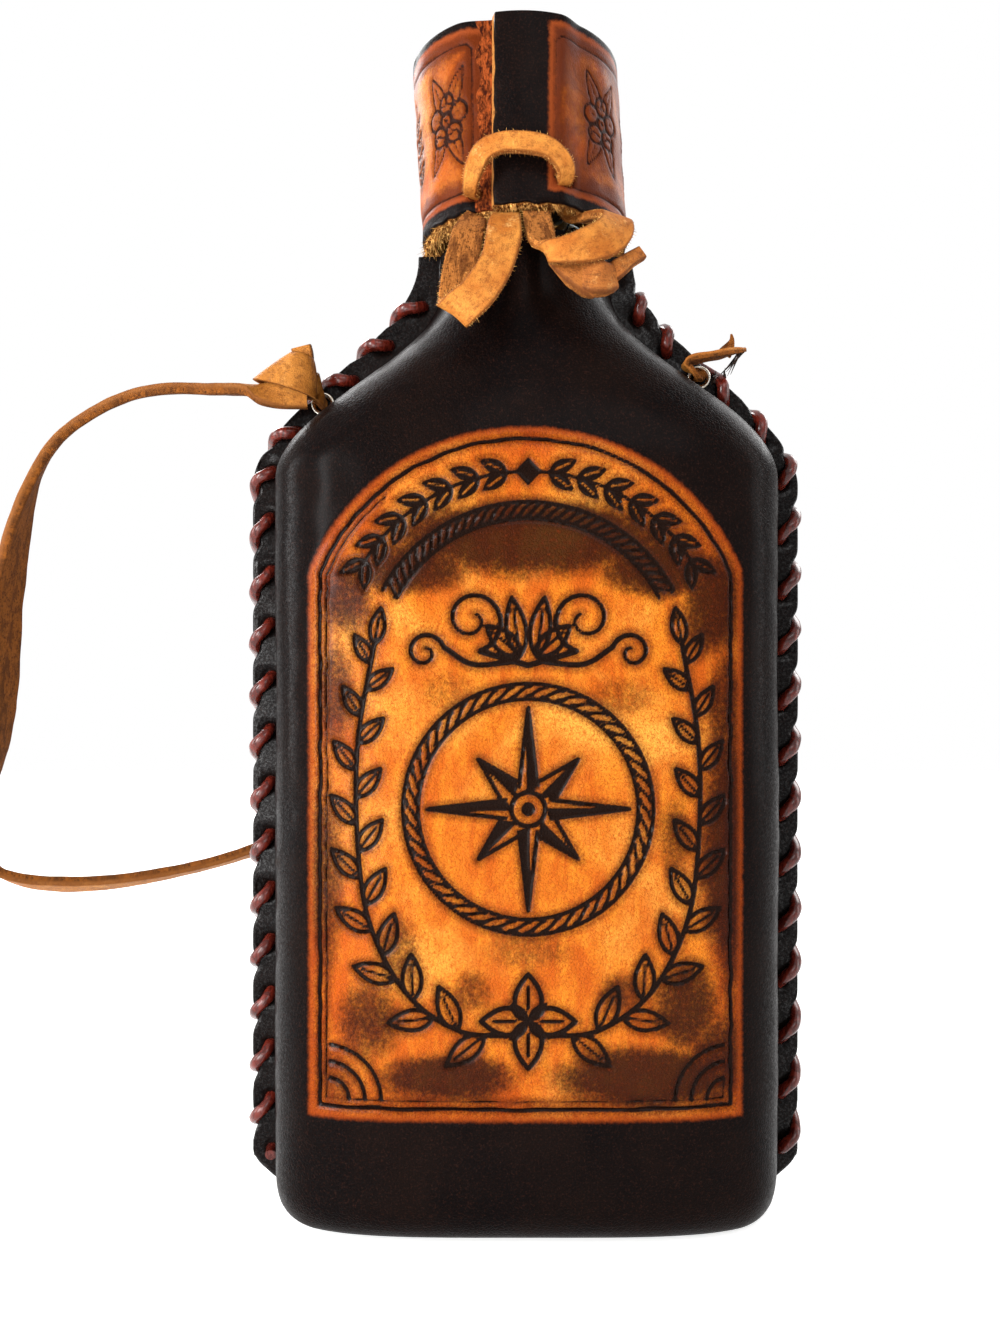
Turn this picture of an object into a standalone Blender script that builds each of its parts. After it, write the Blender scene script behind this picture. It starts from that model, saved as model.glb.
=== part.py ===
"""Leather-wrapped pocket flask.

A flat glass bottle sits in a wet-moulded leather cover: one sheet that runs down the front, under
the base and up the back, pinched into a two-layer flange at each side and whip-laced through
punched holes. A lapped leather sleeve and a leather round dress the screw cap. A thong ties the
sleeve, and a flat strap hangs from an eyelet in each shoulder.

Metres, +Z up, front towards -Y. The origin is the middle of the base that the flask stands on.
"""

import math

import bmesh
import bpy
import numpy as np

MM = 0.001

# Glass bottle
GLASS_HALF_WIDTH = 43.1 * MM
GLASS_HALF_DEPTH = 20.1 * MM
GLASS_WALL = 3.0 * MM
GLASS_BASE = 5.0 * MM
GLASS_BASE_ROUND = 8.0 * MM
GLASS_NECK_RADIUS = 13.1 * MM
GLASS_BORE_RADIUS = 9.3 * MM
GLASS_BEAD_RADIUS = 14.0 * MM
GLASS_THREAD_ROOT = 12.3 * MM
BODY_SQUARENESS = 4.0
BODY_HEIGHT = 134.0 * MM
SHOULDER_HEIGHT = 37.0 * MM
COLLAR_HEIGHT = 6.5 * MM
NECK_ABOVE_COLLAR = 28.8 * MM
BEAD_ABOVE_COLLAR = 6.0 * MM
BEAD_HEIGHT = 3.0 * MM

# Fits: SEAT is the gap between pieces that touch, BOTTLE_FIT the ease of the glass in the leather
SEAT = 0.3 * MM
BOTTLE_FIT = 0.5 * MM

# Leather cover
LEATHER = 2.4 * MM
FLANGE_SLIT = 0.15 * MM
FLANGE_WIDTH = 5.0 * MM
FLANGE_NECK_WIDTH = 3.5 * MM
FLANGE_ABOVE_NECK = 6.0 * MM
FLANGE_ABOVE_BODY = 0.2 * MM
FLANGE_ROOT_SOFTNESS = 1.2 * MM
INNER_ROOT_SOFTNESS = 0.2 * MM
FLANGE_SWELL = 0.25 * MM
COVER_BASE_ROUND = 7.0 * MM
CORNER_WIDTH = 14.0 * MM
CORNER_HEIGHT = 9.5 * MM

# Lacing: stitches are counted along the flange edge, below and above the strap eyelet
LACE_RADIUS = 1.1 * MM
LACE_CLEARANCE = 0.25 * MM
LACE_SLACK = 0.4 * MM
LACE_EDGE_SLACK = 0.3 * MM
STITCH_INSET = 3.1 * MM
LOWER_STITCHES = 15
LOWEST_STITCH_HEIGHT = 9.0 * MM
STITCH_BELOW_EYELET = 7.0 * MM
STITCH_ABOVE_EYELET = 7.5 * MM
UPPER_STITCHES = {"left": 3, "right": 3}
UPPER_PITCH = {"left": 9.2 * MM, "right": 7.8 * MM}
POINTS_PER_LOOP = 14
LOOP_SQUARENESS = 2.6
TURN_IN_HOLE = 0.55
TAIL_SHARE = 0.55
EDGE_STEP_SHARE = 0.35
HOLE_SHARE = 0.88

# Strap eyelets
EYELET_BORE = 1.4 * MM
EYELET_WALL = 0.4 * MM
EYELET_RIM_RADIUS = 2.2 * MM
EYELET_RIM_THICKNESS = 0.5 * MM
EYELET_INSET = 2.6 * MM
EYELET_ABOVE_BODY = {"left": 15.5 * MM, "right": 20.5 * MM}

# Screw cap, liner and leather round
CAP_RADIUS = 14.6 * MM
CAP_WALL = 1.2 * MM
CAP_TOP = 1.6 * MM
CAP_SKIRT_DEPTH = 18.8 * MM
LINER_THICKNESS = 1.2 * MM
DISC_THICKNESS = 2.4 * MM

# Cap sleeve: a lapped strip, skived thin where it laps, leaning to the left
SLEEVE_ABOVE_COLLAR = 2.5 * MM
SLEEVE_HEIGHT = 33.2 * MM
SLEEVE_LEATHER = 2.5 * MM
SLEEVE_SKIVED = 1.1 * MM
SLEEVE_LAP_EDGE = 1.8 * MM
SLEEVE_LEAN = 0.06
SLEEVE_EASE = 0.25 * MM
LAP_START = math.radians(-15.0)
LAP_END = math.radians(19.5)
SKIVE_END = math.radians(40.0)
LAP_CLIMB = math.radians(15.0)
THONG_HOLE_ANGLE = {"left": math.radians(30.0), "right": math.radians(-20.5)}
THONG_HOLE_RADIUS = 1.9 * MM
THONG_HOLE_RISE = 4.8 * MM

# Thong and strap
THONG_THICKNESS = 1.5 * MM
THONG_WIDTH = 6.0 * MM
THONG_UNIT = THONG_WIDTH / 6.0
STRAP_THICKNESS = 2.0 * MM
STRAP_WIDTH = 7.0 * MM

# Levels and radii that follow from the sizes above
COVER_TOP = BODY_HEIGHT + SHOULDER_HEIGHT + COLLAR_HEIGHT
GLASS_BOTTOM = LEATHER + SEAT
MOUTH_LEVEL = COVER_TOP + NECK_ABOVE_COLLAR
LINER_BOTTOM = MOUTH_LEVEL + SEAT
CAP_INNER_TOP = LINER_BOTTOM + LINER_THICKNESS + SEAT
CAP_LEVEL = CAP_INNER_TOP + CAP_TOP
SLEEVE_BOTTOM = COVER_TOP + SLEEVE_ABOVE_COLLAR
SLEEVE_TOP = SLEEVE_BOTTOM + SLEEVE_HEIGHT
SLEEVE_INNER = CAP_RADIUS + SEAT + SLEEVE_EASE + SLEEVE_LEAN * (CAP_LEVEL - SLEEVE_BOTTOM)
SLEEVE_OUTER = SLEEVE_INNER + SLEEVE_LEATHER
THONG_HOLE_LEVEL = SLEEVE_BOTTOM + THONG_HOLE_RISE
COVER_HALF_WIDTH = GLASS_HALF_WIDTH + BOTTLE_FIT + LEATHER
COVER_HALF_DEPTH = GLASS_HALF_DEPTH + BOTTLE_FIT + LEATHER
COLLAR_RADIUS = GLASS_NECK_RADIUS + BOTTLE_FIT + LEATHER
FLANGE_HALF = FLANGE_SLIT + LEATHER
FLANGE_HALF_WIDTH = COVER_HALF_WIDTH + FLANGE_WIDTH
LACE_HOLE_RADIUS = LACE_RADIUS + LACE_CLEARANCE + LACE_SLACK
EYELET_SEAT = FLANGE_HALF + FLANGE_SWELL + SEAT
EYELET_RIM_LEVEL = EYELET_SEAT + EYELET_RIM_THICKNESS

# Angles round a half section, from just off the side seam to the middle of the front
SECTION_ANGLES = np.radians([1.2, 5, 12, 21, 31, 42, 54, 66, 78, 90])
FLANGE_STEPS = np.array([1.0, 0.9, 0.7, 0.35])
SHOULDER_ROWS = 9
BODY_ROWS = 3
ROUND_ROWS = 3


def clear_scene():
    for thing in list(bpy.data.objects):
        bpy.data.objects.remove(thing, do_unlink=True)


def make_material(name, colour, roughness, metallic=0.0, transmission=0.0):
    material = bpy.data.materials.new(name)
    material.use_nodes = True
    shader = material.node_tree.nodes["Principled BSDF"]
    shader.inputs["Base Color"].default_value = (*colour, 1.0)
    shader.inputs["Roughness"].default_value = roughness
    shader.inputs["Metallic"].default_value = metallic
    shader.inputs["Transmission Weight"].default_value = transmission
    return material


def add_axis(name, place, parent=None):
    """An empty on a joint's axis, which carries the pieces that move with it."""
    empty = bpy.data.objects.new(name, None)
    empty.parent = parent
    empty.location = np.array(place) - place_of(parent)
    empty.empty_display_size = 10 * MM
    bpy.context.scene.collection.objects.link(empty)
    return empty


def place_of(axis):
    """World place of an axis; the axes are unturned, so their places add up."""
    place = np.zeros(3)
    while axis:
        place += axis.location
        axis = axis.parent
    return place


def add_mesh(name, points, faces, material=None, parent=None):
    """A mesh object from points in world metres; its own origin is its parent's place."""
    points = np.asarray(points, float).reshape(-1, 3) - place_of(parent)
    mesh = bpy.data.meshes.new(name)
    mesh.from_pydata(points.tolist(), [], [list(map(int, face)) for face in faces])
    mesh.update()
    mesh.shade_smooth()
    mesh.set_sharp_from_angle(angle=math.radians(40))
    thing = bpy.data.objects.new(name, mesh)
    thing.parent = parent
    if material:
        mesh.materials.append(material)
    bpy.context.scene.collection.objects.link(thing)
    return thing


def turn_profile(name, profile, segments, material, parent=None, closed=True):
    """A piece turned about the vertical axis from (radius, height) points."""
    builder = bmesh.new()
    corners = [builder.verts.new((radius, 0.0, height)) for radius, height in profile]
    ends = corners[1:] + corners[:1] if closed else corners[1:]
    edges = [builder.edges.new(pair) for pair in zip(corners, ends)]
    bmesh.ops.spin(
        builder, geom=corners + edges, axis=(0, 0, 1), cent=(0, 0, 0), angle=math.tau, steps=segments
    )
    bmesh.ops.remove_doubles(builder, verts=builder.verts[:], dist=0.001 * MM)
    bmesh.ops.recalc_face_normals(builder, faces=builder.faces[:])
    points = [tuple(vertex.co) for vertex in builder.verts]
    builder.verts.index_update()
    faces = [[vertex.index for vertex in face.verts] for face in builder.faces]
    builder.free()
    return add_mesh(name, points, faces, material, parent)


def cut(target, cutter):
    cutter.hide_render = True
    cutter.display_type = "WIRE"
    modifier = target.modifiers.new(cutter.name, "BOOLEAN")
    modifier.operation = "DIFFERENCE"
    modifier.solver = "EXACT"
    modifier.object = cutter


def prism_rods(name, starts, ends, radii, sides):
    """One mesh of straight rods between pairs of points, used as a set of punches."""
    points, faces = [], []
    turn = np.arange(sides) * math.tau / sides
    for start, end, radius in zip(np.array(starts), np.array(ends), radii):
        along = (end - start) / np.linalg.norm(end - start)
        side = np.cross(along, (0.0, 0.0, 1.0))
        side /= np.linalg.norm(side)
        up = np.cross(side, along)
        ring = radius * (np.outer(np.cos(turn), side) + np.outer(np.sin(turn), up))
        first = len(points)
        points.extend(start + ring)
        points.extend(end + ring)
        for i in range(sides):
            j = (i + 1) % sides
            faces.append((first + i, first + j, first + sides + j, first + sides + i))
        faces.append(tuple(first + i for i in reversed(range(sides))))
        faces.append(tuple(first + sides + i for i in range(sides)))
    return outward(add_mesh(name, points, faces))


def outward(thing):
    """Turns all faces of a closed mesh to point out."""
    builder = bmesh.new()
    builder.from_mesh(thing.data)
    bmesh.ops.recalc_face_normals(builder, faces=builder.faces[:])
    builder.to_mesh(thing.data)
    builder.free()
    return thing


def ease(share):
    """Smooth S from 0 to 1."""
    share = np.clip(share, 0.0, 1.0)
    return share * share * (3.0 - 2.0 * share)


def shoulder_share(height, above_neck=0.0, above_body=0.0):
    """0 at the neck and 1 on the body, for the S of the shoulder at this height."""
    top = BODY_HEIGHT + SHOULDER_HEIGHT + above_neck
    bottom = BODY_HEIGHT + above_body
    return ease((top - height) / (top - bottom))


def section_point(angle, half_width, half_depth, squareness):
    """A point of a superellipse, with the angle counted from the side (x) to the front (y)."""
    power = 2.0 / squareness
    return half_width * np.cos(angle) ** power, half_depth * np.sin(angle) ** power


def section_sizes(height, inset):
    """Half width, half depth and squareness at a height, inset from the leather's outer face."""
    share = shoulder_share(height)
    half_width = COLLAR_RADIUS + (COVER_HALF_WIDTH - COLLAR_RADIUS) * share - inset
    half_depth = COLLAR_RADIUS + (COVER_HALF_DEPTH - COLLAR_RADIUS) * share - inset
    return half_width, half_depth, 2.0 + (BODY_SQUARENESS - 2.0) * share


def flange_reach(height):
    """How far the flange edge stands from the middle plane at a height, above the corner."""
    neck = COLLAR_RADIUS + FLANGE_NECK_WIDTH
    share = shoulder_share(height, FLANGE_ABOVE_NECK, FLANGE_ABOVE_BODY)
    return neck + (FLANGE_HALF_WIDTH - neck) * share


def corner_rise(across):
    """Height of the cover's lower edge at a distance from the middle plane: a quarter ellipse."""
    share = np.clip((np.abs(across) - FLANGE_HALF_WIDTH + CORNER_WIDTH) / CORNER_WIDTH, 0.0, 1.0)
    return CORNER_HEIGHT * (1.0 - np.sqrt(1.0 - share * share))


def soft_floor(value, softness):
    """Zero well below zero and the value itself well above, with a soft turn between."""
    return 0.5 * (value + np.sqrt(value * value + softness * softness))


def half_section(height, inset, floor, softness):
    """Right half of a front section: (x, depth) from the flange edge to the middle of the front."""
    half_width, half_depth, squareness = section_sizes(height, inset)
    x_body, depth = section_point(SECTION_ANGLES, half_width, half_depth, squareness)
    reach = flange_reach(height)
    x_flange = half_width + (reach - half_width) * FLANGE_STEPS
    below = -floor - 1.5 * (x_flange - half_width)
    x = np.concatenate([x_flange, x_body])
    return x, floor + soft_floor(np.concatenate([below, depth - floor]), softness)


def sheet_face(inset, floor, softness, base_round):
    """One face of the moulded sheet as a grid: rows run down the front, under and up the back."""
    x_base, depth_base = half_section(0.0, inset, floor, softness)
    round_off = np.minimum(base_round, 0.8 * depth_base)
    lowest = corner_rise(x_base) + inset
    bend = lowest + round_off
    heights = np.linspace(COVER_TOP, BODY_HEIGHT, SHOULDER_ROWS + 1)
    rows = []
    for height in heights:
        x, depth = half_section(height, inset, floor, softness)
        rows.append(np.stack([x, -depth, np.full_like(x, height)], axis=1))
    for row in range(1, BODY_ROWS + 1):
        level = BODY_HEIGHT + (bend - BODY_HEIGHT) * row / BODY_ROWS
        rows.append(np.stack([x_base, -depth_base, level], axis=1))
    for row in range(1, ROUND_ROWS + 1):
        turn = 0.5 * math.pi * row / ROUND_ROWS
        depth = depth_base - round_off * (1.0 - math.cos(turn))
        rows.append(np.stack([x_base, -depth, bend - round_off * math.sin(turn)], axis=1))
    rows.append(np.stack([x_base, np.zeros_like(x_base), lowest], axis=1))
    front = np.array(rows)
    back = front[-2::-1] * (1.0, -1.0, 1.0)
    half = np.concatenate([front, back])
    mirrored = half[:, -2::-1] * (-1.0, 1.0, 1.0)
    return np.concatenate([half, mirrored], axis=1)


def grid_faces(row_count, column_count, first=0, flip=False):
    row, column = np.mgrid[0 : row_count - 1, 0 : column_count - 1]
    corner = first + (row * column_count + column).ravel()
    quads = np.stack([corner, corner + 1, corner + column_count + 1, corner + column_count], axis=1)
    return quads[:, ::-1] if flip else quads


def rim_of_grid(row_count, column_count):
    """Indices round the edge of a grid, in order."""
    index = np.arange(row_count * column_count).reshape(row_count, column_count)
    return np.concatenate([index[0, :-1], index[:-1, -1], index[-1, :0:-1], index[:0:-1, 0]])


def leather_cover(material):
    outer = sheet_face(0.0, FLANGE_HALF, FLANGE_ROOT_SOFTNESS, COVER_BASE_ROUND)
    inner = sheet_face(LEATHER, FLANGE_SLIT, INNER_ROOT_SOFTNESS, COVER_BASE_ROUND - LEATHER)
    rows, columns = outer.shape[:2]
    count = rows * columns
    rim = rim_of_grid(rows, columns)
    onward = np.roll(rim, -1)
    walls = np.stack([rim, rim + count, onward + count, onward], axis=1)
    faces = [
        *grid_faces(rows, columns),
        *grid_faces(rows, columns, count, flip=True),
        *walls,
    ]
    points = np.concatenate([outer.reshape(-1, 3), inner.reshape(-1, 3)])
    return outward(add_mesh("leather_cover", points, faces, material))


class FlangeEdge:
    """The flange's outer edge on one side, from the collar down and round the bottom corner."""

    def __init__(self):
        heights = np.linspace(COVER_TOP, CORNER_HEIGHT, 400)
        turn = np.linspace(0.0, 0.5 * math.pi, 60)[1:]
        corner_x = FLANGE_HALF_WIDTH - CORNER_WIDTH * (1.0 - np.cos(turn))
        corner_z = CORNER_HEIGHT * (1.0 - np.sin(turn))
        self.x = np.concatenate([flange_reach(heights), corner_x])
        self.z = np.concatenate([heights, corner_z])
        steps = np.hypot(np.diff(self.x), np.diff(self.z))
        self.run = np.concatenate([[0.0], np.cumsum(steps)])
        slope_x, slope_z = np.gradient(self.x, self.run), np.gradient(self.z, self.run)
        size = np.hypot(slope_x, slope_z)
        self.out_x, self.out_z = -slope_z / size, slope_x / size

    def at(self, run, outward_by):
        """(x, z) at a run along the edge, moved outwards square to it."""
        x, z = np.interp(run, self.run, self.x), np.interp(run, self.run, self.z)
        out_x, out_z = np.interp(run, self.run, self.out_x), np.interp(run, self.run, self.out_z)
        return x + outward_by * out_x, z + outward_by * out_z

    def run_at_height(self, height):
        return float(np.interp(-height, -self.z, self.run))


def eyelet_run(edge, side):
    """Run along the edge of the strap eyelet, whose centre is at its own height."""
    runs = np.linspace(0.0, edge.run_at_height(BODY_HEIGHT), 400)
    _, z = edge.at(runs, -EYELET_INSET)
    return float(np.interp(-BODY_HEIGHT - EYELET_ABOVE_BODY[side], -z, runs))


def stitch_runs(edge, side):
    """Runs of the stitch holes along the edge, from the collar down."""
    middle = eyelet_run(edge, side)
    first_above = middle - STITCH_ABOVE_EYELET
    above = first_above - UPPER_PITCH[side] * np.arange(UPPER_STITCHES[side])[::-1]
    last = edge.run_at_height(LOWEST_STITCH_HEIGHT)
    below = np.linspace(middle + STITCH_BELOW_EYELET, last, LOWER_STITCHES)
    return np.concatenate([above, below])


def lace_loop_sizes():
    """Reach of a loop along and across the flange, and its middle, from the edge outwards."""
    reach_out = LACE_RADIUS + LACE_CLEARANCE + LACE_EDGE_SLACK
    half_run = 0.5 * (STITCH_INSET + reach_out)
    half_depth = FLANGE_HALF + LACE_RADIUS + LACE_CLEARANCE + LACE_SLACK
    return half_run, half_depth, reach_out - half_run


def lace_route(edge, side):
    """Centre line of one whip-stitched lace.

    Each loop is a superellipse round the flange's edge. It passes a hole straight through, gives
    half of the way to the next hole on the face it shows and half on the other, and on a long
    step it follows the outside of the edge.
    """
    half_run, half_depth, middle = lace_loop_sizes()
    holes = stitch_runs(edge, side)
    usual = holes[-1] - holes[-2]
    power = 2.0 / LOOP_SQUARENESS
    turn = np.linspace(0.0, math.tau, POINTS_PER_LOOP + 1)[:-1]
    out = middle - half_run * np.sign(np.cos(turn)) * np.abs(np.cos(turn)) ** power
    deep = -half_depth * np.sign(np.sin(turn)) * np.abs(np.sin(turn)) ** power
    share = loop_share(turn)
    before = turn <= math.pi
    runs, outs, deeps = [], [], []
    for hole, following in zip(holes[:-1], holes[1:]):
        step = min(following - hole, usual)
        extra = following - hole - step
        runs.extend(hole + step * share[before])
        outs.extend(out[before])
        deeps.extend(deep[before])
        edge_steps = int(extra / (EDGE_STEP_SHARE * usual))
        for i in range(1, edge_steps + 1):
            runs.append(hole + 0.5 * step + extra * i / edge_steps)
            outs.append(out[before][-1])
            deeps.append(deep[before][-1])
        runs.extend(hole + extra + step * share[~before])
        outs.extend(out[~before])
        deeps.extend(deep[~before])
    tail_end, tail = half_depth + LACE_RADIUS, TAIL_SHARE * half_depth
    runs = [holes[0]] * 2 + runs + [holes[-1]] * 3
    outs = [middle - half_run] * 2 + outs + [middle - half_run] * 3
    deeps = [tail_end, tail, *deeps, 0.0, -tail, -tail_end]
    x, z = edge.at(np.array(runs), np.array(outs))
    route = np.stack([-x, np.array(deeps), z], axis=1)
    return route if side == "left" else route * (-1.0, -1.0, 1.0)


def loop_share(turn):
    """Share of the way to the next hole at each angle of a loop: none while it is in the hole."""
    return np.clip((turn - TURN_IN_HOLE) / (math.tau - 2.0 * TURN_IN_HOLE), 0.0, 1.0)


def least_gap(route, radius, apart):
    """Least gap of a tube to itself, between points more than this many steps apart."""
    spread = np.linalg.norm(route[:, None] - route[None], axis=2)
    steps = np.abs(np.subtract.outer(np.arange(len(route)), np.arange(len(route))))
    return float(spread[steps > apart].min() - 2.0 * radius)


def side_lace(side, material):
    route = lace_route(FlangeEdge(), side)
    gap = least_gap(route, LACE_RADIUS, POINTS_PER_LOOP // 3)
    print(f"{side} lace: least gap to itself {gap / MM:.2f} mm")
    curve = bpy.data.curves.new(side + "_lace", "CURVE")
    curve.dimensions = "3D"
    curve.bevel_depth = LACE_RADIUS
    curve.bevel_resolution = 1
    curve.use_fill_caps = True
    spline = curve.splines.new("POLY")
    spline.points.add(len(route) - 1)
    for point, place in zip(spline.points, route):
        point.co = (*place, 1.0)
    curve.materials.append(material)
    thing = bpy.data.objects.new(side + "_lace", curve)
    bpy.context.scene.collection.objects.link(thing)
    return thing


def punch_cover(cover):
    """Stitch holes and eyelet holes through both layers of each flange."""
    edge = FlangeEdge()
    half_run, _, middle = lace_loop_sizes()
    length = FLANGE_HALF + 0.8 * MM
    hole_out = middle - HOLE_SHARE * half_run
    for side, sign in (("left", -1.0), ("right", 1.0)):
        x, z = edge.at(stitch_runs(edge, side), hole_out)
        near = np.stack([sign * x, np.full_like(x, -length), z], axis=1)
        far = near * (1.0, -1.0, 1.0)
        punches = prism_rods(side + "_stitch_punches", near, far, [LACE_HOLE_RADIUS] * len(x), 8)
        cut(cover, punches)
        x, z = edge.at(eyelet_run(edge, side), -EYELET_INSET)
        near = np.array([(sign * x, -length, z)])
        radius = EYELET_BORE + EYELET_WALL + SEAT
        cut(cover, prism_rods(side + "_eyelet_punch", near, near * (1, -1, 1), [radius], 16))


def eyelet(side, material):
    """A metal eyelet through the flange: a barrel with a rolled rim on each face."""
    edge = FlangeEdge()
    sign = -1.0 if side == "left" else 1.0
    x, z = edge.at(eyelet_run(edge, side), -EYELET_INSET)
    face, rim = EYELET_SEAT, EYELET_RIM_LEVEL
    barrel = EYELET_BORE + EYELET_WALL
    soft = 0.4 * EYELET_RIM_THICKNESS
    half = [
        (barrel, face),
        (EYELET_RIM_RADIUS, face),
        (EYELET_RIM_RADIUS, rim - soft),
        (EYELET_RIM_RADIUS - soft, rim),
        (EYELET_BORE + soft, rim),
        (EYELET_BORE, rim - soft),
    ]
    profile = half + [(radius, -height) for radius, height in reversed(half)]
    thing = turn_profile(side + "_eyelet", profile, 20, material)
    thing.rotation_euler = (0.5 * math.pi, 0.0, 0.0)
    thing.location = (sign * x, 0.0, z)
    return thing


def glass_rings(heights, wall, floor_level, floor_round):
    """Rings of one face of the glass body, rounded in towards its floor."""
    quarter = SECTION_ANGLES.copy()
    quarter[0] = 0.0
    turn = np.concatenate([quarter, math.pi - quarter[-2::-1]])
    turn = np.concatenate([turn, turn[1:-1] + math.pi])
    rings = []
    for height in heights:
        half_width, half_depth, squareness = section_sizes(height, LEATHER + BOTTLE_FIT + wall)
        lift = min(max(height - floor_level, 0.0), floor_round)
        pull = floor_round - math.sqrt(floor_round**2 - (floor_round - lift) ** 2)
        power = 2.0 / squareness
        x = (half_width - pull) * np.sign(np.cos(turn)) * np.abs(np.cos(turn)) ** power
        y = (half_depth - pull) * np.sign(np.sin(turn)) * np.abs(np.sin(turn)) ** power
        rings.append(np.stack([x, y, np.full_like(x, height)], axis=1))
    return rings, turn


def round_ring(radius, height, turn):
    return np.stack([radius * np.cos(turn), radius * np.sin(turn), np.full_like(turn, height)], axis=1)


def glass_bottle(material):
    """Body rings from base to neck outside, the finish, then down the bore to the inner floor."""
    foot = GLASS_BASE_ROUND * (1.0 - np.cos(np.linspace(0.0, 0.5 * math.pi, 5)))
    heights = [*(GLASS_BOTTOM + foot), *np.linspace(COVER_TOP, BODY_HEIGHT, SHOULDER_ROWS + 1)[::-1]]
    outside, turn = glass_rings(heights, 0.0, GLASS_BOTTOM, GLASS_BASE_ROUND)
    bead_low = COVER_TOP + BEAD_ABOVE_COLLAR
    bead_high = bead_low + BEAD_HEIGHT
    soft = 0.7 * MM
    finish = [
        (GLASS_NECK_RADIUS, bead_low - 1.5 * soft),
        (GLASS_BEAD_RADIUS, bead_low),
        (GLASS_BEAD_RADIUS, bead_high - soft),
        (GLASS_THREAD_ROOT, bead_high),
        (GLASS_THREAD_ROOT, MOUTH_LEVEL - soft),
        (GLASS_THREAD_ROOT - soft, MOUTH_LEVEL),
        (GLASS_BORE_RADIUS + 0.5 * soft, MOUTH_LEVEL),
        (GLASS_BORE_RADIUS, MOUTH_LEVEL - 0.5 * soft),
        (GLASS_BORE_RADIUS, COVER_TOP + soft),
    ]
    outside.extend(round_ring(radius, height, turn) for radius, height in finish)
    floor = GLASS_BOTTOM + GLASS_BASE
    inner_round = GLASS_BASE_ROUND - GLASS_WALL
    inner_foot = inner_round * (1.0 - np.cos(np.linspace(0.0, 0.5 * math.pi, 4)))
    shoulder = np.linspace(COVER_TOP, BODY_HEIGHT, SHOULDER_ROWS + 1)[1:]
    inside, _ = glass_rings([*shoulder, *(floor + inner_foot)[::-1]], GLASS_WALL, floor, inner_round)
    rings = outside + inside
    size = len(turn)
    points = np.concatenate(rings)
    faces = []
    for ring in range(len(rings) - 1):
        for i in range(size):
            j = (i + 1) % size
            low, high = ring * size, (ring + 1) * size
            faces.append((low + i, low + j, high + j, high + i))
    faces.append(tuple(reversed(range(size))))
    faces.append(tuple(range(len(points) - size, len(points))))
    return outward(add_mesh("glass_bottle", points, faces, material))


def sleeve_shift(height):
    """Sideways place of the leaning sleeve's middle at a height."""
    return -SLEEVE_LEAN * (height - SLEEVE_BOTTOM)


def sleeve_section():
    """Angles round the strip and its inner and outer radius there, from the tucked end outwards."""
    corners = [LAP_START, LAP_END, SKIVE_END, math.tau + LAP_START - LAP_CLIMB]
    corners += [math.tau + LAP_START, math.tau + LAP_END]
    counts = [5, 4, 38, 5, 5]
    angles = [np.linspace(a, b, n, endpoint=False) for a, b, n in zip(corners, corners[1:], counts)]
    angle = np.concatenate([*angles, [corners[-1]]])
    tucked = SLEEVE_SKIVED * np.ones_like(angle)
    grown = ease((angle - LAP_END) / (SKIVE_END - LAP_END))
    thinned = ease((angle - corners[3]) / (corners[5] - corners[3]))
    thickness = tucked + (SLEEVE_LEATHER - SLEEVE_SKIVED) * grown
    thickness += (SLEEVE_LAP_EDGE - SLEEVE_LEATHER) * thinned
    climb = ease((angle - corners[3]) / (corners[4] - corners[3]))
    inner = SLEEVE_INNER + (SLEEVE_SKIVED + SEAT) * climb
    return angle, inner, inner + thickness


def front_angle_point(angle, radius, height):
    """A point round the sleeve, its angle counted from the front towards the left."""
    x = sleeve_shift(height) - radius * np.sin(angle)
    return np.stack([x, -radius * np.cos(angle), np.full_like(x, height)], axis=-1)


def cap_sleeve(material, parent):
    angle, inner, outer = sleeve_section()
    soft = 0.4 * MM
    profile = [
        (inner, SLEEVE_BOTTOM),
        (outer - soft, SLEEVE_BOTTOM),
        (outer, SLEEVE_BOTTOM + soft),
        (outer, SLEEVE_TOP - soft),
        (outer - soft, SLEEVE_TOP),
        (inner, SLEEVE_TOP),
    ]
    loops = [front_angle_point(angle, radius, height) for radius, height in profile]
    size = len(angle)
    faces = []
    for k in range(len(loops)):
        low, high = k * size, (k + 1) % len(loops) * size
        faces.extend((low + i, low + i + 1, high + i + 1, high + i) for i in range(size - 1))
    faces.append(tuple(k * size for k in range(len(loops))))
    faces.append(tuple(k * size + size - 1 for k in reversed(range(len(loops)))))
    sleeve = outward(add_mesh("cap_sleeve", np.concatenate(loops), faces, material, parent))
    starts, ends = [], []
    for side in ("left", "right"):
        angle = np.array(THONG_HOLE_ANGLE[side])
        starts.append(front_angle_point(angle, np.array(SLEEVE_INNER - 1 * MM), THONG_HOLE_LEVEL))
        ends.append(front_angle_point(angle, np.array(SLEEVE_OUTER + 2 * MM), THONG_HOLE_LEVEL))
    punches = prism_rods("thong_punches", starts, ends, [THONG_HOLE_RADIUS] * 2, 10)
    cut(sleeve, punches)
    return sleeve


def screw_cap(material, parent):
    soft = 0.8 * MM
    inner = CAP_RADIUS - CAP_WALL
    skirt = CAP_LEVEL - CAP_TOP - CAP_SKIRT_DEPTH
    profile = [
        (0.0, CAP_LEVEL),
        (CAP_RADIUS - soft, CAP_LEVEL),
        (CAP_RADIUS, CAP_LEVEL - soft),
        (CAP_RADIUS, skirt),
        (inner, skirt),
        (inner, CAP_INNER_TOP),
        (0.0, CAP_INNER_TOP),
    ]
    return turn_profile("screw_cap", profile, 40, material, parent, closed=False)


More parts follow.
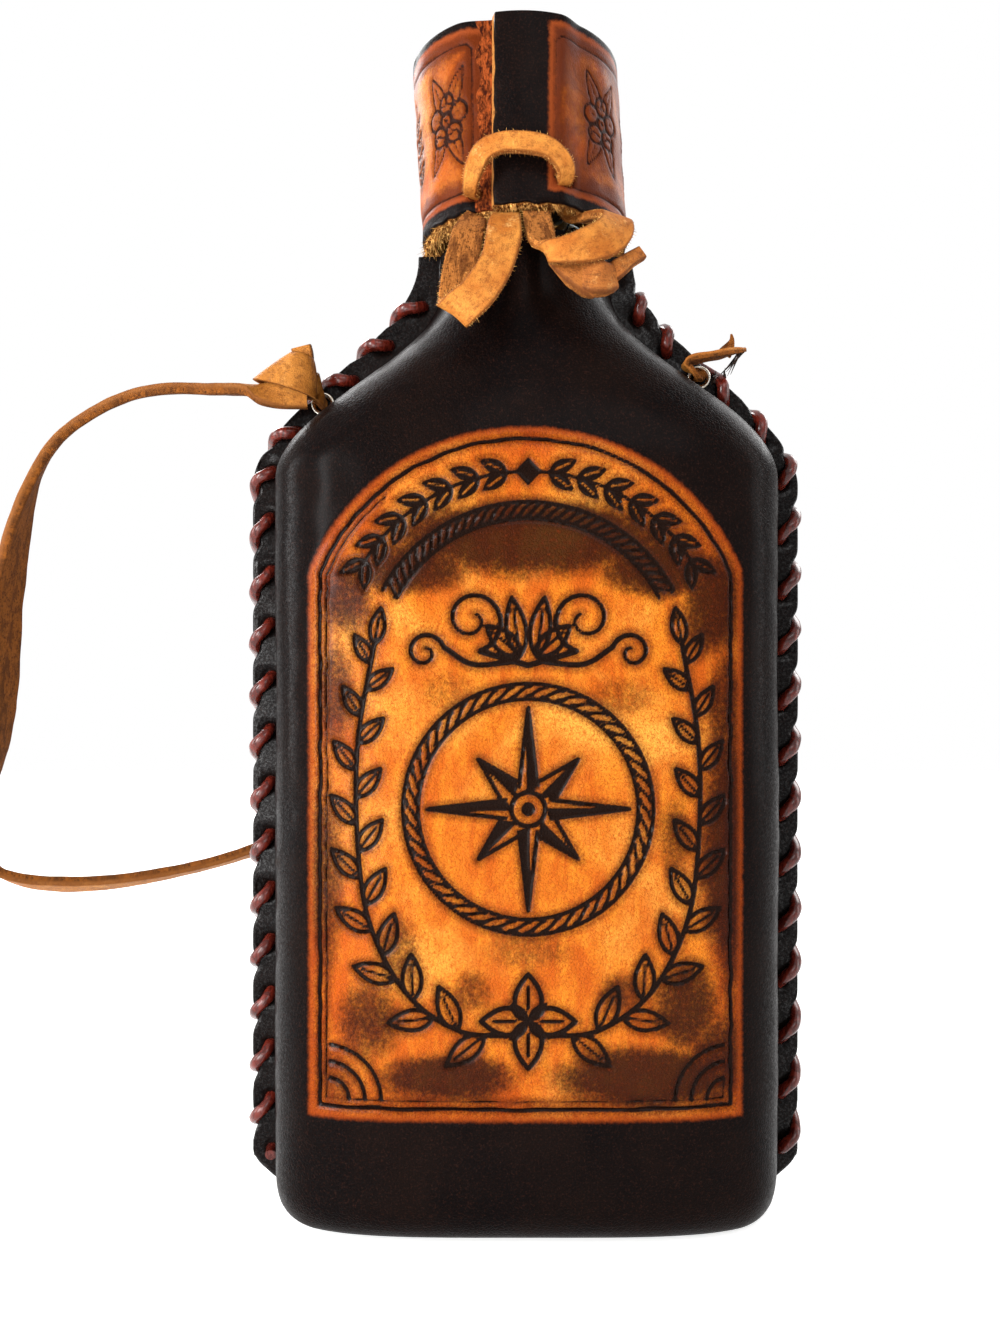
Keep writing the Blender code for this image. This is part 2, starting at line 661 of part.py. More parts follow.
def cap_liner(material, parent):
    radius = CAP_RADIUS - CAP_WALL - SEAT
    top = LINER_BOTTOM + LINER_THICKNESS
    profile = [(0.0, top), (radius, top), (radius, LINER_BOTTOM), (0.0, LINER_BOTTOM)]
    return turn_profile("cap_liner", profile, 40, material, parent, closed=False)


def cap_top_disc(material, parent):
    """The leather round on the cap, centred in the leaning sleeve."""
    low = CAP_LEVEL + SEAT
    high = low + DISC_THICKNESS
    soft = 0.5 * MM
    radius = SLEEVE_INNER - SEAT - SLEEVE_LEAN * DISC_THICKNESS
    profile = [(0.0, high), (radius - soft, high), (radius, high - soft), (radius, low), (0.0, low)]
    disc = turn_profile("cap_top_disc", profile, 40, material, parent, closed=False)
    disc.location.x += sleeve_shift(0.5 * (low + high))
    return disc


def smooth_through(stations, steps):
    """Catmull-Rom curve through rows of numbers, with this many steps between rows."""
    rows = np.array(stations, float)
    padded = np.concatenate([[2 * rows[0] - rows[1]], rows, [2 * rows[-1] - rows[-2]]])
    share = np.linspace(0.0, 1.0, steps, endpoint=False)[:, None]
    pieces = []
    for a, b, c, d in zip(padded, padded[1:], padded[2:], padded[3:]):
        cubic = -a + 3 * b - 3 * c + d
        square = 2 * a - 5 * b + 4 * c - d
        pieces.append(0.5 * (2 * b + (c - a) * share + square * share**2 + cubic * share**3))
    return np.concatenate([*pieces, rows[-1:]])


def flat_band(name, stations, steps, material, parent=None):
    """A flat band with a rectangular section. A station is a place, the direction its width
    points in, its width and its thickness."""
    rows = smooth_through(stations, steps)
    place, width, thick = rows[:, :3], rows[:, 6:7], rows[:, 7:8]
    along = np.gradient(place, axis=0)
    along /= np.linalg.norm(along, axis=1, keepdims=True)
    across = rows[:, 3:6] - along * np.sum(rows[:, 3:6] * along, axis=1, keepdims=True)
    across /= np.linalg.norm(across, axis=1, keepdims=True)
    through = np.cross(along, across)
    corners = [(-0.5, -0.5), (0.5, -0.5), (0.5, 0.5), (-0.5, 0.5)]
    rings = [place + a * width * across + b * thick * through for a, b in corners]
    points = np.stack(rings, axis=1).reshape(-1, 3)
    count = len(place)
    faces = []
    for ring in range(count - 1):
        for i in range(4):
            j = (i + 1) % 4
            faces.append((4 * ring + i, 4 * ring + j, 4 * ring + 4 + j, 4 * ring + 4 + i))
    faces.append((3, 2, 1, 0))
    faces.append(tuple(4 * count - 4 + i for i in range(4)))
    length = np.linalg.norm(np.diff(place, axis=0), axis=1).sum()
    print(f"{name}: {length / MM:.0f} mm long")
    return outward(add_mesh(name, points, faces, material, parent))


def sleeve_station(degrees, outside, height, across, width, thick):
    """A thong station by its angle round the sleeve, its way out from the sleeve's outer face
    and its height above the sleeve's lower edge. Its width points along (rightwards round the
    sleeve, outwards, up)."""
    level = SLEEVE_BOTTOM + height * THONG_UNIT
    radius = np.array(SLEEVE_OUTER + outside * THONG_UNIT)
    angle = math.radians(degrees)
    place = front_angle_point(angle, radius, level)
    rightward = np.array([math.cos(angle), -math.sin(angle), 0.0])
    forward = np.array([-math.sin(angle), -math.cos(angle), 0.0])
    direction = across[0] * rightward + across[1] * forward + across[2] * np.array([0.0, 0.0, 1.0])
    return (*place, *direction, width * THONG_UNIT, thick * THONG_UNIT)


def cap_thong(material, parent):
    """The tie through the sleeve: tucked end, left loop, arch over the lap, right loop, knot."""
    wide = THONG_WIDTH / THONG_UNIT
    thin = THONG_THICKNESS / THONG_UNIT
    left, right = (math.degrees(THONG_HOLE_ANGLE[side]) for side in ("left", "right"))
    hole = THONG_HOLE_RISE / THONG_UNIT
    inside = -(SLEEVE_LEATHER + SEAT) / THONG_UNIT - 0.5 * thin
    side_way = (1.0, 0.0, 0.0)
    slant = (0.85, 0.0, 0.5)
    upright = (0.0, 0.0, 1.0)
    below = -0.5 * SLEEVE_ABOVE_COLLAR / THONG_UNIT
    stations = [
        sleeve_station(4, inside - 0.2, 3.0, side_way, 4.2, thin),
        sleeve_station(4, inside - 0.1, 0.4, side_way, 4.4, thin),
        sleeve_station(5, inside + 1.0, below - 0.1, side_way, 4.6, thin),
        sleeve_station(7, 1.2, below - 0.4, side_way, 5.0, thin),
        sleeve_station(9, 4.0, -4.0, slant, 5.6, thin),
        sleeve_station(14, 6.2, -10.5, slant, wide, thin),
        sleeve_station(20, 8.0, -16.5, slant, wide, thin),
        sleeve_station(27, 8.3, -19.6, slant, wide, thin),
        sleeve_station(32, 6.4, -18.8, slant, wide, thin),
        sleeve_station(34, 5.0, -13.5, slant, wide, thin),
        sleeve_station(33, 3.4, -6.5, slant, 5.6, thin),
        sleeve_station(31, 1.2, below - 0.6, side_way, 4.6, thin),
        sleeve_station(30, inside + 1.0, below - 0.1, side_way, 4.2, thin),
        sleeve_station(30, inside, 0.6, side_way, 3.6, thin),
        sleeve_station(left, inside - 0.1, hole - 1.4, side_way, 2.2, thin),
        sleeve_station(left, inside + 1.6, hole, side_way, 2.2, 1.7),
        sleeve_station(left, 0.6, hole, side_way, 2.2, 1.7),
        sleeve_station(left - 1, 2.0, hole + 1.2, (0.9, 0.0, 0.4), 2.8, 1.6),
        sleeve_station(left - 6, 2.9, hole + 3.8, (0.5, 0.0, 0.8), 3.6, thin),
        sleeve_station(13, 3.4, hole + 5.4, upright, 4.2, thin),
        sleeve_station(0, 3.6, hole + 5.7, upright, 4.2, thin),
        sleeve_station(right + 8, 3.5, hole + 4.4, (-0.5, 0.0, 0.8), 3.6, thin),
        sleeve_station(right + 1, 2.7, hole + 1.6, (-0.8, 0.0, 0.5), 2.8, 1.6),
        sleeve_station(right, 1.2, hole, (-0.95, 0.0, 0.2), 2.2, 1.7),
        sleeve_station(right, inside + 1.8, hole, (-1.0, 0.0, 0.0), 2.2, 1.7),
        sleeve_station(right, inside + 0.2, hole - 1.4, (-1.0, 0.0, 0.0), 2.6, 1.6),
        sleeve_station(-25, inside, 0.6, (-1.0, 0.0, 0.0), 3.6, thin),
        sleeve_station(-27, inside + 1.0, below - 0.1, (-1.0, 0.0, 0.0), 4.4, thin),
        sleeve_station(-29, 1.4, below - 0.6, (-0.95, 0.0, 0.2), 4.8, thin),
        sleeve_station(-35, 5.4, -4.2, (-0.6, 0.2, 0.8), 5.4, thin),
        sleeve_station(-34, 9.2, -7.4, (-0.2, 0.0, 1.0), 5.8, thin),
        sleeve_station(-24, 11.2, -9.8, (0.0, 0.0, 1.0), 5.8, thin),
        sleeve_station(-12, 10.6, -10.8, (0.1, 0.0, 1.0), 5.6, thin),
        sleeve_station(-4, 8.0, -10.2, (0.3, 0.0, 0.9), 5.2, thin),
        sleeve_station(-3, 5.4, -10.6, (0.3, 0.0, 0.9), 4.8, thin),
        sleeve_station(-9, 4.4, -13.0, (0.4, 0.0, 0.8), 5.0, 2.4),
        sleeve_station(-17, 4.8, -15.4, (0.3, 0.0, 0.9), 6.0, 3.4),
        sleeve_station(-26, 5.0, -15.8, (0.0, 0.0, 1.0), 6.2, 3.6),
        sleeve_station(-33, 5.4, -14.2, (-0.2, 0.0, 1.0), 4.4, 2.2),
        sleeve_station(-39, 6.2, -11.8, (-0.4, 0.0, 0.9), 3.2, thin),
        sleeve_station(-43, 7.2, -9.6, (-0.5, 0.0, 0.8), 2.6, thin),
    ]
    return flat_band("cap_thong", stations, 2, material, parent)


def carrying_strap(material):
    """The strap from eyelet to eyelet: out to the left, down and round behind the flask."""
    edge = FlangeEdge()
    left_x, left_z = edge.at(eyelet_run(edge, "left"), -EYELET_INSET)
    right_x, right_z = edge.at(eyelet_run(edge, "right"), -EYELET_INSET)
    wide, thin = STRAP_WIDTH, STRAP_THICKNESS
    face = EYELET_RIM_LEVEL + SEAT
    across = (0.0, 0.0, 1.0)
    slim = (1.9 * MM, 1.3 * MM)

    def by_left(x, y, z, direction, width, thick):
        return (-left_x + x * MM, y, left_z + z * MM, *direction, width, thick)

    def by_right(x, y, z, direction, width, thick):
        return (right_x + x * MM, y, right_z + z * MM, *direction, width, thick)

    def free(x, y, z, direction):
        return (x * MM, y * MM, z * MM, *direction, wide, thin)

    stations = [
        by_left(0.0, face + 3.0 * MM, 0.0, across, *slim),
        by_left(0.0, face, 0.0, across, *slim),
        by_left(0.0, -face, 0.0, across, *slim),
        by_left(-0.2, -face - 2.2 * MM, 0.2, across, 3.6 * MM, 2.4 * MM),
        by_left(-0.7, -face - 5.6 * MM, 3.0, (0.2, 0.1, 1.0), 9.8 * MM, 4.0 * MM),
        by_left(-3.6, -face - 5.4 * MM, 2.7, (0.2, 0.1, 1.0), 10.2 * MM, 4.8 * MM),
        by_left(-7.2, -face - 4.0 * MM, 1.8, (0.0, 0.3, 1.0), 7.6 * MM, 3.8 * MM),
        by_left(-11.2, -face - 3.0 * MM, 1.6, (-0.1, 0.9, 0.4), 7.0 * MM, 2.3 * MM),
        free(-59, -4.5, 152.0, (-0.26, 0.94, 0.22)),
        free(-67, -3, 152.5, (-0.29, 0.93, 0.22)),
        free(-75, -1.5, 151.6, (-0.33, 0.92, 0.22)),
        free(-83, 0, 148.5, (-0.36, 0.91, 0.2)),
        free(-90, 1, 143.6, (-0.38, 0.91, 0.15)),
        free(-95, 2.2, 136.5, (-0.3, 0.94, 0.12)),
        free(-98.6, 3.8, 127.0, (0.05, 0.99, 0.1)),
        free(-101.2, 5.4, 116.5, (0.3, 0.94, 0.05)),
        free(-102.8, 6.8, 106.5, (0.36, 0.92, 0.0)),
        free(-103.8, 8.2, 96.5, (0.3, 0.95, 0.0)),
        free(-105.4, 9.8, 86.5, (0.1, 0.98, 0.1)),
        free(-108.6, 12.0, 76.2, (-0.1, 0.97, 0.2)),
        free(-111.6, 14.5, 67.0, (-0.2, 0.95, 0.2)),
        free(-111.2, 17.0, 59.6, (-0.3, 0.93, -0.1)),
        free(-106, 19.0, 55.8, (-0.3, 0.9, -0.3)),
        free(-98, 21.0, 54.2, (-0.3, 0.88, -0.38)),
        free(-88, 23.0, 54.2, (-0.27, 0.9, -0.36)),
        free(-78, 25.2, 55.4, (-0.24, 0.92, -0.3)),
        free(-67, 27.4, 57.6, (-0.22, 0.94, -0.26)),
        free(-56, 29.0, 60.9, (-0.18, 0.92, -0.34)),
        free(-48, 29.8, 63.9, (-0.05, 0.75, -0.65)),
        free(-41, 30, 66.6, (0.1, 0.4, -0.9)),
        free(-26, 30, 73.8, (0.3, 0.2, -0.9)),
        free(-11, 30, 83.6, (0.5, 0.0, -0.85)),
        free(3, 30, 96.6, (0.6, 0.0, -0.8)),
        free(15, 30, 111.4, (0.7, 0.0, -0.7)),
        free(26, 29.5, 126.0, (0.8, 0.0, -0.6)),
        free(34, 28, 138.6, (0.85, 0.0, -0.5)),
        by_right(0.0, 24 * MM, -6.6, (0.9, 0.0, -0.3), wide, thin),
        by_right(1.0, 17 * MM, -0.6, (0.9, 0.0, -0.1), 5.6 * MM, thin),
        by_right(0.6, 10 * MM, 1.0, (1.0, 0.0, 0.0), 3.4 * MM, thin),
        by_right(0.0, face + 2.0 * MM, 0.0, (1.0, 0.0, 0.0), *slim),
        by_right(0.0, face, 0.0, (1.0, 0.0, 0.0), *slim),
        by_right(0.0, -face, 0.0, (1.0, 0.0, 0.0), *slim),
        by_right(0.1, -face - 1.6 * MM, 0.0, (0.8, 0.0, 0.5), 2.2 * MM, 1.2 * MM),
        by_right(-0.6, -face - 2.6 * MM, -0.4, (0.2, 0.5, 0.8), 2.8 * MM, 1.1 * MM),
        by_right(-2.4, -face - 3.6 * MM, 0.2, (0.0, 1.0, 0.2), 3.4 * MM, 1.1 * MM),
        by_right(-3.4, -face - 3.8 * MM, 1.4, (0.0, 1.0, 0.0), 4.0 * MM, 1.1 * MM),
        by_right(-2.4, -face - 3.9 * MM, 2.5, (0.0, 1.0, 0.0), 4.4 * MM, 1.2 * MM),
        by_right(0.8, -face - 3.9 * MM, 2.9, (0.0, 1.0, 0.1), 4.8 * MM, 1.3 * MM),
        by_right(4.0, -face - 3.8 * MM, 3.4, (0.0, 1.0, 0.1), 4.8 * MM, 1.2 * MM),
        by_right(7.0, -face - 2.8 * MM, 4.0, (0.0, 1.0, 0.2), 3.4 * MM, 0.9 * MM),
    ]
    return flat_band("carrying_strap", stations, 2, material)


def build():
    clear_scene()
    glass = make_material("clear_glass", (0.9, 0.93, 0.9), 0.05, transmission=1.0)
    dark_leather = make_material("dark_leather", (0.012, 0.008, 0.008), 0.42)
    tan_leather = make_material("orange_tooled_leather", (0.55, 0.16, 0.02), 0.4)
    raw_leather = make_material("light_thong_leather", (0.6, 0.28, 0.07), 0.7)
    strap_leather = make_material("tan_strap_leather", (0.33, 0.14, 0.04), 0.7)
    lace_finish = make_material("waxed_red_brown_lace", (0.16, 0.02, 0.01), 0.25)
    nickel = make_material("nickel", (0.6, 0.58, 0.55), 0.3, metallic=1.0)
    cap_plastic = make_material("black_plastic", (0.02, 0.02, 0.02), 0.35)
    wad = make_material("white_foam_wad", (0.8, 0.8, 0.76), 0.7)

    glass_bottle(glass)
    cover = leather_cover(dark_leather)
    punch_cover(cover)
    for side in ("left", "right"):
        side_lace(side, lace_finish)
        eyelet(side, nickel)
    lift_axis = add_axis("cap_lift_axis", (0.0, 0.0, MOUTH_LEVEL))
    turn_axis = add_axis("cap_turn_axis", (0.0, 0.0, MOUTH_LEVEL), lift_axis)
    cap_liner(wad, lift_axis)
    screw_cap(cap_plastic, turn_axis)
    cap_top_disc(dark_leather, turn_axis)
    cap_sleeve(tan_leather, turn_axis)
    cap_thong(raw_leather, turn_axis)
    carrying_strap(strap_leather)


build()
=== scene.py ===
import math

import bpy
import numpy as np
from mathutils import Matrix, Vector


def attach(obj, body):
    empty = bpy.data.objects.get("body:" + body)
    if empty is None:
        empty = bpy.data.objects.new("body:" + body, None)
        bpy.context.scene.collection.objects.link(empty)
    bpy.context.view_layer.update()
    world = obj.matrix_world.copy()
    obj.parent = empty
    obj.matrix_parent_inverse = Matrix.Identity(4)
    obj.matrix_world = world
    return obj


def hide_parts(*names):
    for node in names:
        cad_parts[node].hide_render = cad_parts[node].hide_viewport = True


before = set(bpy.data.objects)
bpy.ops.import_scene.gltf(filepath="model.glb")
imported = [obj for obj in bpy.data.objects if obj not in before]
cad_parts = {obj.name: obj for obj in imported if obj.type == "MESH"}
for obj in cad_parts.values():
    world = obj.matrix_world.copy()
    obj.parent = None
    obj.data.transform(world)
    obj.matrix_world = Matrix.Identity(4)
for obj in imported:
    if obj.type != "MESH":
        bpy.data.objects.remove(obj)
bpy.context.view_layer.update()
mm = 0.001
print("frame loaded")

# Shared helpers


def smoothStep(low, high, value):
    # 0 below low, 1 above high, and 3t^2 - 2t^3 between
    t = np.clip((value - low) / (high - low), 0.0, 1.0)
    return t * t * (3.0 - 2.0 * t)


def softNoise(x, y, z, size, seed):
    # smooth bumps about `size` mm across: a sum of nine plane waves with seeded directions, from -1 to 1
    rng = np.random.default_rng(seed)
    total = np.zeros(np.broadcast(x, y, z).shape)
    for _ in range(9):
        way = rng.normal(size=3)
        way *= rng.uniform(0.7, 1.5) * math.tau / size / np.linalg.norm(way)
        total += np.sin(way[0] * x + way[1] * y + way[2] * z + rng.uniform(0, math.tau))
    return total / 4.5


def through(stations, steps):
    # Catmull-Rom curve through rows of numbers, `steps` points to a row
    rows = np.array(stations, float)
    padded = np.concatenate([[2 * rows[0] - rows[1]], rows, [2 * rows[-1] - rows[-2]]])
    t = (np.arange(len(rows) * steps - steps + 1) / steps)[:, None]
    k = np.minimum(t.astype(int)[:, 0], len(rows) - 2)
    t = t - k[:, None]
    a, b, c, d = padded[k], padded[k + 1], padded[k + 2], padded[k + 3]
    return 0.5 * (2 * b + (c - a) * t + (2 * a - 5 * b + 4 * c - d) * t**2 + (3 * b - a - 3 * c + d) * t**3)


def tubeFaces(ringCount, ringSize):
    # quads between neighbouring closed rings of ringSize points
    ring, side = np.mgrid[0 : ringCount - 1, 0:ringSize]
    low = ring * ringSize
    high = low + ringSize
    after = (side + 1) % ringSize
    return np.stack([low + side, low + after, high + after, high + side], axis=-1).reshape(-1, 4)


def makePiece(name, points, faces, material, body, replaced=(), values=None, uv=None, sharp=50):
    # points in millimetres; values are per-point numbers for the material; uv is one pair per point
    points = np.asarray(points, float).reshape(-1, 3) * mm
    mesh = bpy.data.meshes.new(name)
    mesh.from_pydata(points.tolist(), [], [list(map(int, face)) for face in faces])
    mesh.update()
    if signedVolume(mesh) < 0:
        mesh.flip_normals()
    for key, numbers in (values or {}).items():
        layer = mesh.attributes.new(key, "FLOAT", "POINT")
        layer.data.foreach_set("value", np.asarray(numbers, np.float32).ravel())
    if uv is not None:
        layer = mesh.uv_layers.new(name="UVMap")
        corners = np.empty(len(mesh.loops), np.int64)
        mesh.loops.foreach_get("vertex_index", corners)
        layer.data.foreach_set("uv", np.asarray(uv, np.float32).reshape(-1, 2)[corners].ravel())
    mesh.shade_smooth()
    mesh.set_sharp_from_angle(angle=math.radians(sharp))
    thing = bpy.data.objects.new(name, mesh)
    bpy.context.scene.collection.objects.link(thing)
    mesh.materials.append(material)
    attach(thing, body)
    if replaced:
        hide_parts(*replaced)
    return thing


def signedVolume(mesh):
    # sum of the tetrahedra from the origin to each triangle
    mesh.calc_loop_triangles()
    points = np.empty(len(mesh.vertices) * 3)
    mesh.vertices.foreach_get("co", points)
    corners = np.empty(len(mesh.loop_triangles) * 3, np.int64)
    mesh.loop_triangles.foreach_get("vertices", corners)
    a, b, c = points.reshape(-1, 3)[corners.reshape(-1, 3)].transpose(1, 0, 2)
    return float(np.einsum("ij,ij->i", a, np.cross(b, c)).sum())


def stackTubes(rings):
    # rings (n, size, 3) -> points and faces of one closed tube with flat ends
    count, size = rings.shape[:2]
    faces = tubeFaces(count, size).tolist()
    faces.append(list(range(size))[::-1])
    faces.append([count * size - size + i for i in range(size)])
    return rings.reshape(-1, 3), faces


def runAlong(path):
    # length of the path from its start to each of its points
    return np.concatenate([[0.0], np.cumsum(np.linalg.norm(np.diff(path, axis=0), axis=1))])


def carryFrames(path, across):
    # along, across and through directions at each point, with across turned square to the path
    along = np.gradient(path, axis=0)
    along /= np.linalg.norm(along, axis=1, keepdims=True)
    side = across - along * np.sum(across * along, axis=1, keepdims=True)
    side /= np.linalg.norm(side, axis=1, keepdims=True)
    return along, side, np.cross(along, side)


def twistFree(path, start):
    # a side direction carried along the path with no twist: each is the last one made square again
    along = np.gradient(path, axis=0)
    along /= np.linalg.norm(along, axis=1, keepdims=True)
    side = np.array(start, float)
    sides = np.empty_like(path)
    for i, way in enumerate(along):
        side = side - way * side.dot(way)
        side /= np.linalg.norm(side)
        sides[i] = side
    return sides


def roundTube(path, radius, start, swell):
    # a circle carried along a path: one radius for each point, times a swell for each point and angle
    _, side, up = carryFrames(path, twistFree(path, start))
    around = swell.shape[1]
    turn = np.arange(around) * math.tau / around
    ring = np.cos(turn)[None, :, None] * side[:, None] + np.sin(turn)[None, :, None] * up[:, None]
    rings = path[:, None] + radius[:, None, None] * (ring * swell[:, :, None])
    uv = np.stack(np.broadcast_arrays(turn[None] / math.tau, runAlong(path)[:, None]), axis=-1)
    points, faces = stackTubes(rings)
    return points, faces, uv.reshape(-1, 2)


# Node helpers


class Nodes:
    # short ways to place and link nodes in one tree

    def __init__(self, tree):
        self.tree = tree

    def add(self, kind, inputs=None, **settings):
        node = self.tree.nodes.new(kind)
        for key, value in settings.items():
            setattr(node, key, value)
        for key, value in (inputs or {}).items():
            self.put(node.inputs[key], value)
        return node

    def put(self, socket, value):
        if isinstance(value, bpy.types.NodeSocket):
            self.tree.links.new(value, socket)
        else:
            socket.default_value = value

    def math(self, operation, a, b=0.5, c=0.5):
        node = self.tree.nodes.new("ShaderNodeMath")
        node.operation = operation
        for socket, value in zip(node.inputs, (a, b, c)):
            self.put(socket, value)
        return node.outputs[0]

    def times(self, a, b):
        return self.math("MULTIPLY", a, b)

    def linear(self, value, factor, plus):
        # value times factor, plus the last
        return self.math("MULTIPLY_ADD", value, factor, plus)

    def between(self, value, low, high, outLow=0.0, outHigh=1.0):
        node = self.add("ShaderNodeMapRange", interpolation_type="SMOOTHSTEP")
        for socket, number in zip(node.inputs, (value, low, high, outLow, outHigh)):
            self.put(socket, number)
        return node.outputs["Result"]

    def blend(self, share, a, b, how="MIX"):
        node = self.add("ShaderNodeMix", data_type="RGBA", blend_type=how)
        self.put(node.inputs[0], share)
        self.put(node.inputs[6], a)
        self.put(node.inputs[7], b)
        return node.outputs[2]

    def noise(self, where, scale, detail=3.0, roughness=0.55, distortion=0.0):
        shape = {"Detail": detail, "Roughness": roughness, "Distortion": distortion}
        return self.add("ShaderNodeTexNoise", {"Vector": where, "Scale": scale, **shape}).outputs["Fac"]

    def stretched(self, where, scale, turn=(0, 0, 0)):
        inputs = {"Vector": where, "Rotation": turn, "Scale": scale}
        return self.add("ShaderNodeMapping", inputs).outputs[0]


def colour(red, green, blue):
    # screen colour 0-255 to the renderer's own
    share = [c / 255 for c in (red, green, blue)]
    return (*[c / 12.92 if c <= 0.04045 else ((c + 0.055) / 1.055) ** 2.4 for c in share], 1.0)


def newGroup(name, inputs, outputs):
    # a node group with sockets of the given kinds; whoever uses it sets every input
    tree = bpy.data.node_groups.new(name, "ShaderNodeTree")
    for way, sockets in (("INPUT", inputs), ("OUTPUT", outputs)):
        for label, kind in sockets.items():
            tree.interface.new_socket(label, in_out=way, socket_type="NodeSocket" + kind)
    nodes = Nodes(tree)
    return nodes, nodes.add("NodeGroupInput").outputs, nodes.add("NodeGroupOutput").inputs


def grainGroup():
    # hide grain: pebbled cells with creases between, pores and long soft blotches
    sizes = {"Cell size": "Float", "Blotch size": "Float", "Crease": "Float"}
    outputs = {"Height": "Float", "Blotches": "Float"}
    n, given, out = newGroup("hideGrain", {"Vector": "Vector", **sizes}, outputs)
    fine = n.math("DIVIDE", 1000.0, given["Cell size"])
    wide = n.math("DIVIDE", 1000.0, given["Blotch size"])
    bent = n.noise(given["Vector"], n.times(fine, 0.35), 2.0)
    shift = {axis: n.times(bent, metres) for axis, metres in enumerate((0.0006, -0.0005, 0.0004))}
    offset = n.add("ShaderNodeCombineXYZ", shift).outputs[0]
    moved = n.add("ShaderNodeVectorMath", {0: given["Vector"], 1: offset}, operation="ADD").outputs[0]
    cells = n.add("ShaderNodeTexVoronoi", {"Vector": moved, "Scale": fine}, feature="DISTANCE_TO_EDGE")
    dents = n.between(cells.outputs["Distance"], 0.0, 0.22)
    pores = n.noise(given["Vector"], n.times(fine, 1.7), 2.0)
    blotches = n.noise(given["Vector"], wide, 4.0, 0.6, 0.3)
    n.put(out["Height"], n.linear(dents, given["Crease"], n.times(pores, 0.5)))
    n.put(out["Blotches"], n.between(blotches, 0.3, 0.7))
    return n.tree


def fleshGroup():
    # flesh side of leather: the dark hollows between matted fibres that are stretched one way
    n, given, out = newGroup("fleshFibres", {"Vector": "Vector"}, {"Hollows": "Float"})
    long = n.noise(n.stretched(given["Vector"], (900, 900, 2600), (0.3, 0.5, 0.2)), 1.0, 5.0, 0.7, 1.2)
    matted = n.noise(given["Vector"], 1500.0, 4.0, 0.75, 0.8)
    height = n.linear(long, 0.6, n.times(matted, 0.4))
    n.put(out["Hollows"], n.between(height, 0.5, 0.36))
    return n.tree


grainNodes = grainGroup()
fleshNodes = fleshGroup()


def grainOf(n, where, cell, blotch, crease):
    # the hide grain's outputs, its cells and blotches in mm
    inputs = {"Vector": where, "Cell size": cell, "Blotch size": blotch, "Crease": crease}
    return n.add("ShaderNodeGroup", inputs, node_tree=grainNodes).outputs


def hollowsOf(n, where):
    # how deep a point of the flesh side lies between its fibres
    return n.add("ShaderNodeGroup", {"Vector": where}, node_tree=fleshNodes).outputs["Hollows"]


def startMaterial(name, roughness=0.5, **constants):
    # Principled shader with its constants set on its own sockets
    material = bpy.data.materials.new(name)
    material.use_nodes = True
    n = Nodes(material.node_tree)
    shader = material.node_tree.nodes["Principled BSDF"]
    shader.inputs["Roughness"].default_value = roughness
    for key, value in constants.items():
        shader.inputs[key.replace("_", " ")].default_value = value
    where = n.add("ShaderNodeTexCoord").outputs["Object"]
    return material, n, shader, where


def bumpOnto(n, shader, height, strength, distance):
    # the height as a bump on the shader's normal, its distance in mm
    inputs = {"Height": height, "Strength": strength, "Distance": distance * mm}
    n.put(shader.inputs["Normal"], n.add("ShaderNodeBump", inputs).outputs[0])


def twoTones(n, shader, share, first, second):
    # Base Color from one screen colour to the other by the share
    n.put(shader.inputs["Base Color"], n.blend(share, colour(*first), colour(*second)))


# Camera, floor and lights

shot = {
    "eye": (-4.8, -200.0, 100.2),
    "lens": 28.25,
    "lean": 0.0,
    "floorSize": 1.6,
    "floorLevel": -0.0002,
    "worldGlow": 0.20,
}


def setCamera():
    # the photograph's camera: level, looking along +Y
    data = bpy.data.cameras.new("shotCamera")
    data.lens = shot["lens"]
    data.sensor_width = 36.0
    data.clip_start = 0.01
    camera = bpy.data.objects.new("shotCamera", data)
    camera.location = Vector(shot["eye"]) * mm
    camera.rotation_euler = (math.radians(90), math.radians(shot["lean"]), 0.0)
    bpy.context.scene.collection.objects.link(camera)
    bpy.context.scene.camera = camera


def seenDirectly(n):
    # 1 for what the camera, a mirror or a window sees, 0 for what only lights other things
    ray = n.add("ShaderNodeLightPath")
    seen = n.math("MAXIMUM", ray.outputs["Is Camera Ray"], ray.outputs["Is Glossy Ray"])
    return n.math("MAXIMUM", seen, ray.outputs["Is Transmission Ray"])


def setWorld():
    # white where it is looked at, and only a weak glow as a light
    world = bpy.data.worlds.new("softRoom")
    world.use_nodes = True
    n = Nodes(world.node_tree)
    glow = n.linear(seenDirectly(n), 1.0 - shot["worldGlow"], shot["worldGlow"])
    background = world.node_tree.nodes["Background"]
    background.inputs["Color"].default_value = (1, 1, 1, 1)
    n.put(background.inputs["Strength"], glow)
    bpy.context.scene.world = world


def setFloor():
    # a pale board: half of its white is its own, so that the shadow stays soft on it
    material = bpy.data.materials.new("paleFloor")
    material.use_nodes = True
    n = Nodes(material.node_tree)
    shader = material.node_tree.nodes["Principled BSDF"]
    shader.inputs["Base Color"].default_value = (0.8, 0.8, 0.8, 1)
    shader.inputs["Roughness"].default_value = 0.9
    shader.inputs["Specular IOR Level"].default_value = 0.0
    shader.inputs["Emission Color"].default_value = (1, 1, 1, 1)
    n.put(shader.inputs["Emission Strength"], n.times(seenDirectly(n), 0.62))
    half, level = 0.5 * shot["floorSize"], shot["floorLevel"]
    corners = [(x * half, y * half, level) for x, y in ((-1, -1), (1, -1), (1, 1), (-1, 1))]
    mesh = bpy.data.meshes.new("floorBoard")
    mesh.from_pydata(corners, [], [(0, 1, 2, 3)])
    mesh.materials.append(material)
    floor = bpy.data.objects.new("floorBoard", mesh)
    bpy.context.scene.collection.objects.link(floor)


